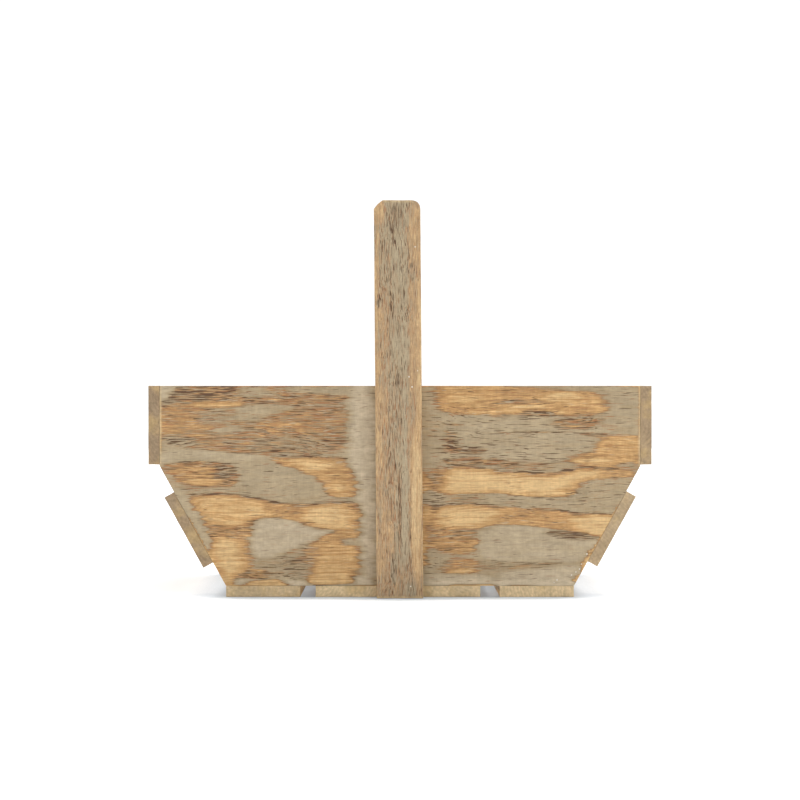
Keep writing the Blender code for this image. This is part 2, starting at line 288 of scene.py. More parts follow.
def vertex_rows(mesh, name):
    """The mesh's points, "co", or their normals, "normal", one row each."""
    values = numpy.zeros(len(mesh.vertices) * 3, numpy.float32)
    mesh.vertices.foreach_get(name, values)
    return values.reshape(-1, 3)


def move_points(mesh, points):
    mesh.vertices.foreach_set("co", points.ravel().astype(numpy.float32))
    mesh.update()


def own_places(mesh, place):
    """The mesh's points in the board's own frame."""
    inverse = numpy.array(place.inverted())
    return vertex_rows(mesh, "co").astype(float) @ inverse[:3, :3].T + inverse[:3, 3]


GRAIN_RELIEF = 0.00012  # the brush takes this much out of the soft wood between the grain's lines
GRAIN_STEP = (0.035, 0.0024)
GRAIN_WAVE = 0.0072  # how far those lines wander
WAVE_STEP = (0.08, 0.02)
SWELL_RELIEF = 0.00012
SWELL_STEP = (0.07, 0.03)
ARRIS_WEAR = 0.00028
KNOCK_STEP = (0.011, 0.011)
KNOCK_LEVEL = 0.45  # chance values over this knock the arris
KNOCK_REACH = 0.0022
WORN_SKIN = (0.0011, 0.0016)  # wear ends between these depths, so a bore stays true
BACK_SHARE = 0.8  # of half the thickness; beyond it, the board's back lies against others and stays true
WEAR_SLANT = 1.7  # how far the chance values shift across the grain through the thickness


def wear_down(mesh, place, outline, halves, seed):
    """Sinks the surface a little: brushed grain, slow swells, and knocks along the arrises."""
    places = own_places(mesh, place)
    along = places[:, 0]
    across = places[:, 1] + WEAR_SLANT * places[:, 2]
    near_arris = numpy.exp(-((arris_distance(outline, halves, places) / KNOCK_REACH) ** 2))
    waved = across + GRAIN_WAVE * soft_noise(along, across, WAVE_STEP, seed)
    grain = soft_noise(along, waved, GRAIN_STEP, seed + 1)
    swell = soft_noise(along, across, SWELL_STEP, seed + 2)
    knocks = numpy.maximum(0, soft_noise(along, across, KNOCK_STEP, seed + 3) - KNOCK_LEVEL)
    sunk = GRAIN_RELIEF * grain + SWELL_RELIEF * swell + ARRIS_WEAR * near_arris * knocks
    sunk *= 1 - smooth_step(*WORN_SKIN, skin_depth(outline, halves, places))
    sunk *= smooth_step(-halves.z, -BACK_SHARE * halves.z, places[:, 2])
    move_points(mesh, vertex_rows(mesh, "co") - sunk[:, None] * vertex_rows(mesh, "normal"))


# Wear runs from thick wash, below 0, to bare honey wood at 1; char from none at 0 to scorched at 1
WASH_WEAR = (-0.25, 0.15)
WASH_STEP = (0.06, 0.02)
STREAK_LEVELS = (0.38, 0.62)
STREAK_STEP = (0.075, 0.016)
STREAK_WEAR = (0.30, 0.60)
STREAK_WEAR_STEP = (0.05, 0.007)
STREAK_CHAR = 0.6
CHAR_LEVELS = (0.35, 0.75)
CHAR_STEP = (0.05, 0.010)
LOBE_STEP = (0.13, 0.021)
LOBE_LEVEL = 0.98
LOBE_EDGE = 0.03
LOBE_WEAR = (0.62, 1.06)
LOBE_RIM = 0.16
LOBE_OUTLINE_CHAR = 1.1
LOBE_OUTLINE_LEVEL = 0.01
LOBE_OUTLINE_WIDTH = 0.025
LOBE_OUTLINE_STEP = (0.04, 0.02)
GRAIN_DRIFT = 0.006  # how far lobes and streaks wander across the grain
DRIFT_STEP = (0.09, 0.05)
FEATHER_LENGTH = 0.0065  # how far their ends run out along it
FEATHER_STEP = (0.02, 0.0026)


def chance_finish(along, across, seed, worn):
    """A face's wear and char by chance: over the wash lie half-worn streaks, and over those honey lobes with
    scorched rims. The more it is worn, the larger the lobes."""
    bent = across + GRAIN_DRIFT * (soft_noise(along, across, DRIFT_STEP, seed + 5) - 0.5)
    feathered = along + FEATHER_LENGTH * (soft_noise(along, across, FEATHER_STEP, seed + 6) - 0.5)
    streaks = smooth_step(*STREAK_LEVELS, soft_noise(feathered, bent, STREAK_STEP, seed + 1))
    wear = between(WASH_WEAR, soft_noise(along, across, WASH_STEP, seed + 2))
    streak_wear = between(STREAK_WEAR, soft_noise(along, across, STREAK_WEAR_STEP, seed + 3))
    wear = laid_over(wear, streaks, streak_wear)
    char = streaks * smooth_step(*CHAR_LEVELS, soft_noise(along, across, CHAR_STEP, seed + 4))
    depth = soft_noise(feathered, bent, LOBE_STEP, seed) - LOBE_LEVEL + worn
    lobes = smooth_step(-LOBE_EDGE, LOBE_EDGE, depth)
    wear = laid_over(wear, lobes, between(LOBE_WEAR, smooth_step(0, LOBE_RIM, depth)))
    outline = numpy.exp(-(((depth + LOBE_OUTLINE_LEVEL) / LOBE_OUTLINE_WIDTH) ** 2))
    outline *= soft_noise(along, across, LOBE_OUTLINE_STEP, seed + 9)
    return wear, numpy.maximum(STREAK_CHAR * char * (1 - lobes), LOBE_OUTLINE_CHAR * outline)


PATCH_STRETCH = 3.0  # a patch fades this many times further along the grain than across it
PATCH_FEATHER_LENGTH = 0.009
PATCH_FEATHER_STEP = (0.03, 0.0022)
PATCH_DRIFT = 0.0020
PATCH_DRIFT_STEP = (0.030, 0.012)
RIM_WIDTH = 0.0075  # across the grain
RIM_WEAR = 0.50  # an outlined patch is scorched to this at its rim
OUTLINE_WIDTH = 0.0012
OUTLINE_CHAR = 1.25  # at an upper edge; a lower edge is scorched less
SIDE_RIM_SHARE = 0.75  # at an edge that faces sideways, against one that faces up
SIDE_OUTLINE_SHARE = 0.3
CORNER_CUTS = (0.25, 0.75)


def rounded(points):
    """A closed outline with its corners cut off twice, so that it runs in curves."""
    for _ in range(2):
        cut = []
        for start, end in zip(points, points[1:] + points[:1]):
            for share in CORNER_CUTS:
                cut.append(tuple(before + share * (after - before) for before, after in zip(start, end)))
        points = cut
    return points


def patch_depth(points, along, across):
    """How deep inside the outline each point lies, and how much its nearest edge faces up."""
    nearest = numpy.full(len(along), numpy.inf)
    upward = numpy.zeros(len(along))
    inside = numpy.zeros(len(along), bool)
    for (start_along, start_across), (end_along, end_across) in zip(points, points[1:] + points[:1]):
        run = end_along - start_along
        rise = end_across - start_across
        share = ((along - start_along) * run + (across - start_across) * rise) / (run * run + rise * rise)
        share = numpy.clip(share, 0, 1)
        gap_across = start_across + share * rise - across
        distance = numpy.hypot(start_along + share * run - along, gap_across)
        upward = numpy.where(distance < nearest, gap_across, upward)
        nearest = numpy.minimum(distance, nearest)
        if rise:
            level = (start_across > across) != (end_across > across)
            inside ^= level & (along < start_along + (across - start_across) * run / rise)
    facing = upward / numpy.maximum(nearest, 1e-9)
    return numpy.where(inside, nearest, -nearest), numpy.where(inside, facing, -facing)


def paint_patches(wear, char, along, across, patches, seed):
    """Lays patches over a finish, each on those before it. A patch is given by its wear, its char, how dark
    its outline is scorched, how softly it ends in millimetres, and its corners in millimetres."""
    run_out = PATCH_FEATHER_LENGTH * (soft_noise(along, across, PATCH_FEATHER_STEP, seed) - 0.5)
    drift = PATCH_DRIFT * (soft_noise(along, across, PATCH_DRIFT_STEP, seed + 1) - 0.5)
    along = (along + run_out) / PATCH_STRETCH
    across = across + drift
    for patch_wear, patch_char, outlined, softness, corners in patches:
        points = rounded([(x / 1000 / PATCH_STRETCH, y / 1000) for x, y in corners])
        soft = softness / 1000
        margin = soft + 2 * OUTLINE_WIDTH
        low = numpy.min(points, axis=0) - margin
        high = numpy.max(points, axis=0) + margin
        near = (along > low[0]) & (along < high[0]) & (across > low[1]) & (across < high[1])
        depth, facing = patch_depth(points, along[near], across[near])
        cover = smooth_step(-soft, soft, depth)
        rim = (patch_wear - RIM_WEAR if outlined else 0) * (1 - smooth_step(0, RIM_WIDTH, depth))
        rim *= between((SIDE_RIM_SHARE, 1), facing)
        line = OUTLINE_CHAR * outlined * numpy.exp(-((depth / OUTLINE_WIDTH) ** 2))
        line *= between((SIDE_OUTLINE_SHARE, 1), numpy.maximum(0, facing))
        wear[near] = laid_over(wear[near], cover, patch_wear - rim)
        char[near] = numpy.maximum(laid_over(char[near], cover, patch_char), line)


def set_finish(mesh, wear, char, end):
    for name, values in (("wear", wear), ("char", char), ("end", end)):
        attribute = mesh.attributes.new(name, "FLOAT", "POINT")
        attribute.data.foreach_set("value", values.astype(numpy.float32))


RUB_REACH = 0.0009  # from an arris
RUB_LEVELS = (0.45, 0.75)
RUB_STEP = (0.03, 0.03)
RUBBED_WEAR = 0.95
END_GRAIN_SKIN = (0.0006, 0.0003)  # end grain begins between these depths under a board's end
FACE_SHARES = (-0.2, 0.6)  # of half the thickness, where a face's own finish takes over
FINISH_SLANT = 2.3


def end_grain(along, half_length):
    return smooth_step(half_length - END_GRAIN_SKIN[0], half_length - END_GRAIN_SKIN[1], numpy.abs(along))


def finish_board(mesh, place, outline, halves, seed, worn, paint=None):
    """Gives every point its wear, its char and whether it is end grain; paint lays a face's own wear on."""
    places = own_places(mesh, place)
    along = places[:, 0]
    across = places[:, 1] + FINISH_SLANT * places[:, 2]
    wear, char = chance_finish(along, across, seed, worn)
    if paint:
        face_wear, face_char = paint(along, places[:, 1], seed + 8)
        face = smooth_step(FACE_SHARES[0] * halves.z, FACE_SHARES[1] * halves.z, places[:, 2])
        wear = laid_over(wear, face, face_wear)
        char = laid_over(char, face, face_char)
    near_arris = numpy.exp(-((arris_distance(outline, halves, places) / RUB_REACH) ** 2))
    rubbed = near_arris * smooth_step(*RUB_LEVELS, soft_noise(along, across, RUB_STEP, seed + 10))
    set_finish(mesh, laid_over(wear, rubbed, RUBBED_WEAR), char, end_grain(along, halves.x))


LIGHT_GAIN = 1.22  # the studio's light on the timber, against a plain white card's


def tint(red, green, blue):
    """The shader's colour for what looks so in the studio's light, given from 0 to 255."""
    shares = []
    for value in (red, green, blue):
        share = value / 255
        shares.append((share / 12.92 if share <= 0.04045 else ((share + 0.055) / 1.055) ** 2.4) / LIGHT_GAIN)
    return (*shares, 1.0)


def shader_node(tree, kind, feeds, **settings):
    """A node with its settings made and its inputs filled, or fed from other nodes' outputs."""
    node = tree.nodes.new(kind)
    for name, value in settings.items():
        setattr(node, name, value)
    for socket, value in feeds.items():
        if isinstance(value, bpy.types.NodeSocket):
            tree.links.new(value, node.inputs[socket])
        else:
            node.inputs[socket].default_value = value
    return node


def calculate(tree, operation, *values):
    return shader_node(tree, "ShaderNodeMath", dict(enumerate(values)), operation=operation).outputs[0]


def product(tree, value, factor):
    return calculate(tree, "MULTIPLY", value, factor)


def summed(tree, *values):
    total = values[0]
    for value in values[1:]:
        total = calculate(tree, "ADD", total, value)
    return total


def vector_math(tree, operation, *values):
    return shader_node(tree, "ShaderNodeVectorMath", dict(enumerate(values)), operation=operation).outputs[0]


def spread(tree, value, low, high, start, end, interpolation="LINEAR"):
    """The value, taken from low to high onto start to end, and held there."""
    feeds = {"Value": value, "From Min": low, "From Max": high, "To Min": start, "To Max": end}
    return shader_node(tree, "ShaderNodeMapRange", feeds, interpolation_type=interpolation).outputs[0]


def blended(tree, share, below, above):
    return shader_node(tree, "ShaderNodeMix", {0: share, 6: below, 7: above}, data_type="RGBA").outputs[2]


def brightened(tree, colour, factor):
    feeds = {0: colour, "Scale": factor}
    return shader_node(tree, "ShaderNodeVectorMath", feeds, operation="SCALE").outputs[0]


NOISE_ROUGHNESS = 0.55
SWING_SPAN = (0.32, 0.68)  # nearly all of a noise's values lie between these
MOTTLE_SPAN = (0.34, 0.66)
DASH_STEPS = (0.050, 1.05, 1)  # changes to the millimetre along and across the grain, and detail
DASH_EDGE = (-0.03, 0.05)


def stretched_noise(tree, place, along, across, detail, offset=(0.0, 0.0, 0.0)):
    """Noise with this many changes to the millimetre along the board, and across and through it."""
    moved = vector_math(tree, "MULTIPLY_ADD", place, (along, across, across), offset)
    feeds = {"Vector": moved, "Scale": 1.0, "Detail": detail, "Roughness": NOISE_ROUGHNESS}
    return shader_node(tree, "ShaderNodeTexNoise", feeds).outputs[0]


def swing(tree, noise, reach):
    """Noise as a change to either side of nothing."""
    return spread(tree, noise, *SWING_SPAN, -reach, reach)


def mottled(tree, colour, noises):
    """The colour, made brighter and darker by each noise up to its share."""
    for noise, share in noises:
        colour = brightened(tree, colour, spread(tree, noise, *MOTTLE_SPAN, 1 - share, 1 + share))
    return colour


def dash_cover(tree, place, offset, level):
    """Thin dashes along the grain, where their noise rises over this level."""
    over = calculate(tree, "SUBTRACT", stretched_noise(tree, place, *DASH_STEPS, offset), level)
    return spread(tree, over, *DASH_EDGE, 0.0, 1.0, "SMOOTHSTEP")


TIMBER_TONES = (  # by wear: the wash, the scorched grain under it, and then the honey wood
    (-0.90, (214, 195, 165)),
    (-0.50, (192, 174, 146)),
    (-0.10, (182, 163, 132)),
    (0.12, (177, 157, 125)),
    (0.28, (169, 147, 114)),
    (0.42, (165, 136, 100)),
    (0.54, (176, 137, 95)),
    (0.66, (190, 148, 98)),
    (0.80, (204, 163, 110)),
    (1.05, (219, 184, 132)),
)
TONES_FROM = TIMBER_TONES[0][0]
TONES_TO = TIMBER_TONES[-1][0]
FADED_TONE = (188, 177, 152)
HONEY_STREAK = (192, 136, 82)
HALF_WORN = 0.42  # the wear at which most dashes show
DASHES = (  # offset, level, its change where half worn and where charred, strength and colour
    ((31.0, 17.0, 5.0), 0.74, -0.19, 0.0, 0.65, (163, 107, 70)),
    ((57.0, 23.0, 9.0), 0.75, -0.14, 0.0, 0.75, (190, 174, 145)),
    ((83.0, 41.0, 13.0), 0.72, -0.05, -0.20, 0.90, (94, 70, 54)),
)
SAWN_DARK = (154, 131, 104)
SAWN_LIGHT = (240, 213, 168)
SAWN_BLOT = (203, 172, 119)
RING_TURN = 1.9  # of the year rings' wave, in radians to the millimetre
RING_WAVER = 9.0  # how far the rings stray, in millimetres


def weathered_timber():
    """Brushed, scorched and thinly washed softwood. Place is in millimetres, with X along the grain."""
    tree = bpy.data.node_groups.new("Weathered timber", "ShaderNodeTree")
    for direction, kind, names in (
        ("INPUT", "NodeSocketVector", ("Place", "Shift", "Pith")),
        ("INPUT", "NodeSocketFloat", ("Wear", "Char", "End", "Fade", "Sawn")),
        ("OUTPUT", "NodeSocketColor", ("Color",)),
        ("OUTPUT", "NodeSocketFloat", ("Roughness", "Height")),
    ):
        for name in names:
            tree.interface.new_socket(name=name, in_out=direction, socket_type=kind)
    given = tree.nodes.new("NodeGroupInput").outputs
    shifted = vector_math(tree, "ADD", given["Place"], given["Shift"])
    bend = swing(tree, stretched_noise(tree, shifted, 0.008, 0.022, 2), 2.5)
    bend = shader_node(tree, "ShaderNodeCombineXYZ", {"X": 0.0, "Y": bend, "Z": bend}).outputs[0]
    grain = vector_math(tree, "ADD", shifted, bend)

    dashes = stretched_noise(tree, grain, 0.070, 0.95, 2)
    patches = stretched_noise(tree, grain, 0.030, 0.18, 2)
    lines = stretched_noise(tree, grain, 0.012, 0.60, 2)
    fibres = stretched_noise(tree, grain, 0.14, 1.7, 2)
    cloud = stretched_noise(tree, shifted, 0.05, 0.09, 3)
    mottle = stretched_noise(tree, shifted, 0.16, 0.33, 3, (5.0, 71.0, 3.0))
    cross = stretched_noise(tree, shifted, 0.60, 0.09, 2)

    half_worn = calculate(tree, "ABSOLUTE", calculate(tree, "SUBTRACT", given["Wear"], HALF_WORN))
    half_worn = spread(tree, half_worn, 0.0, 0.5, 1.0, 0.0)
    dash_reach = summed(tree, 0.06, product(tree, half_worn, 0.14), product(tree, given["Char"], 0.10))
    wear = summed(
        tree,
        given["Wear"],
        product(tree, swing(tree, dashes, 1.0), dash_reach),
        swing(tree, patches, 0.10),
        swing(tree, lines, 0.08),
        swing(tree, fibres, 0.04),
    )
    tone = spread(tree, wear, TONES_FROM, TONES_TO, 0.0, 1.0)
    tones = shader_node(tree, "ShaderNodeValToRGB", {"Fac": tone})
    ramp = tones.color_ramp
    while len(ramp.elements) < len(TIMBER_TONES):
        ramp.elements.new(1.0)
    for element, (level, look) in zip(ramp.elements, TIMBER_TONES):
        element.position = (level - TONES_FROM) / (TONES_TO - TONES_FROM)
        element.color = tint(*look)
    colour = blended(tree, given["Fade"], tones.outputs[0], tint(*FADED_TONE))
    honey = spread(tree, given["Wear"], 0.55, 0.85, 0.0, 0.36)
    streaks = product(tree, spread(tree, lines, 0.50, 0.36, 0.0, 1.0), honey)
    colour = blended(tree, streaks, colour, tint(*HONEY_STREAK))
    shares = ((lines, 0.07), (fibres, 0.08), (cloud, 0.07), (mottle, 0.07), (cross, 0.045), (dashes, 0.05))
    colour = mottled(tree, colour, shares)
    for offset, level, by_wear, by_char, strength, look in DASHES:
        level = calculate(tree, "MULTIPLY_ADD", half_worn, by_wear, level)
        level = calculate(tree, "MULTIPLY_ADD", given["Char"], by_char, level)
        dashed = dash_cover(tree, grain, offset, level)
        colour = blended(tree, product(tree, dashed, strength), colour, tint(*look))

    from_pith = vector_math(tree, "SUBTRACT", given["Place"], given["Pith"])
    from_pith = vector_math(tree, "MULTIPLY", from_pith, (0.0, 1.0, 1.0))
    radius = shader_node(tree, "ShaderNodeVectorMath", {0: from_pith}, operation="LENGTH").outputs["Value"]
    radius = calculate(tree, "MULTIPLY_ADD", cloud, RING_WAVER, radius)
    rings = calculate(tree, "SINE", product(tree, radius, RING_TURN))
    speckle = stretched_noise(tree, shifted, 0.4, 0.28, 4)
    blots = stretched_noise(tree, shifted, 0.3, 0.055, 3, (11.0, 7.0, 29.0))
    sawn = blended(tree, given["Sawn"], tint(*SAWN_DARK), tint(*SAWN_LIGHT))
    sawn = blended(tree, spread(tree, blots, 0.48, 0.66, 0.0, 0.55), sawn, tint(*SAWN_BLOT))
    sawn = mottled(tree, sawn, ((cloud, 0.10), (mottle, 0.10), (speckle, 0.10)))
    ringed = spread(tree, blots, 0.36, 0.60, 0.075, 0.02)
    sawn = brightened(tree, sawn, calculate(tree, "MULTIPLY_ADD", rings, ringed, 1.0))
    colour = blended(tree, product(tree, given["End"], 0.9), colour, sawn)

    roughness = spread(tree, wear, 0.1, 0.9, 0.88, 0.66)
    relief = ((lines, 0.8), (fibres, 0.5), (dashes, 0.7), (dashed, -0.25))  # scorched dashes lie deeper
    height = summed(tree, *(product(tree, noise, share) for noise, share in relief))
    shader_node(tree, "NodeGroupOutput", {"Color": colour, "Roughness": roughness, "Height": height})


def open_material(name):
    material = bpy.data.materials.new(name)
    material.use_nodes = True
    material.node_tree.nodes.clear()
    return material, material.node_tree


def end_material(tree, kind, feeds):
    """Gives the material this kind of surface."""
    surface = shader_node(tree, kind, feeds).outputs[0]
    shader_node(tree, "ShaderNodeOutputMaterial", {"Surface": surface})


def own_millimetres(tree, place=Matrix.Identity(4), unit=0.001):
    """The place on a piece in millimetres, in the piece's own frame."""
    coordinates = tree.nodes.new("ShaderNodeTexCoord").outputs["Object"]
    feeds = {
        "Vector": coordinates,
        "Location": place.translation,
        "Rotation": place.to_euler(),
        "Scale": (unit, unit, unit),
    }
    return shader_node(tree, "ShaderNodeMapping", feeds, vector_type="TEXTURE").outputs[0]


def timber_material(name, place, shift, pith, fade=0.0, sawn=0.5, coarseness=1.0):
    """The timber's finish on one board, with its grain along the board. The pith is in millimetres."""
    material, tree = open_material(name)
    millimetres = own_millimetres(tree, place, 0.001 * coarseness)
    feeds = {"Place": millimetres, "Shift": shift, "Pith": pith, "Fade": fade, "Sawn": sawn}
    for given in ("Wear", "Char", "End"):
        attribute = shader_node(tree, "ShaderNodeAttribute", {}, attribute_name=given.lower())
        feeds[given] = attribute.outputs["Fac"]
    group = bpy.data.node_groups["Weathered timber"]
    timber = shader_node(tree, "ShaderNodeGroup", feeds, node_tree=group).outputs
    feeds = {"Strength": 0.5, "Distance": 0.00022, "Height": timber["Height"]}
    relief = shader_node(tree, "ShaderNodeBump", feeds).outputs["Normal"]
    feeds = {
        "Base Color": timber["Color"],
        "Roughness": timber["Roughness"],
        "Normal": relief,
        "Specular IOR Level": 0.2,
    }
    end_material(tree, "ShaderNodeBsdfPrincipled", feeds)
    return material


def add_piece(name, mesh, material, slot, *nodes):
    """A finished piece in the scene: it rides with the trug and stands for these solids."""
    mesh.name = name
    mesh.materials.clear()
    mesh.materials.append(material)
    mesh.shade_smooth()
    mesh.set_sharp_from_angle(angle=SMOOTH_ANGLE)
    piece = bpy.data.objects.new(name, mesh)
    bpy.context.scene.collection.objects.link(piece)
    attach(piece, "root")
    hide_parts(*nodes)


def make_board(node, slot, place, outline, halves, steps, cutters, seed, worn, pith, paint=None, **look):
    """Saws, wears and finishes one board, which stands for its solid."""
    mesh = sawn_board(outline, place, halves, steps, cutters)
    wear_down(mesh, place, outline, halves, seed)
    finish_board(mesh, place, outline, halves, seed, worn, paint)
    material = timber_material(f"{node} timber", place, (60.0 * seed, 7.0 * seed, 0.0), pith, **look)
    add_piece(f"{node}_board", mesh, material, slot, node)


weathered_timber()

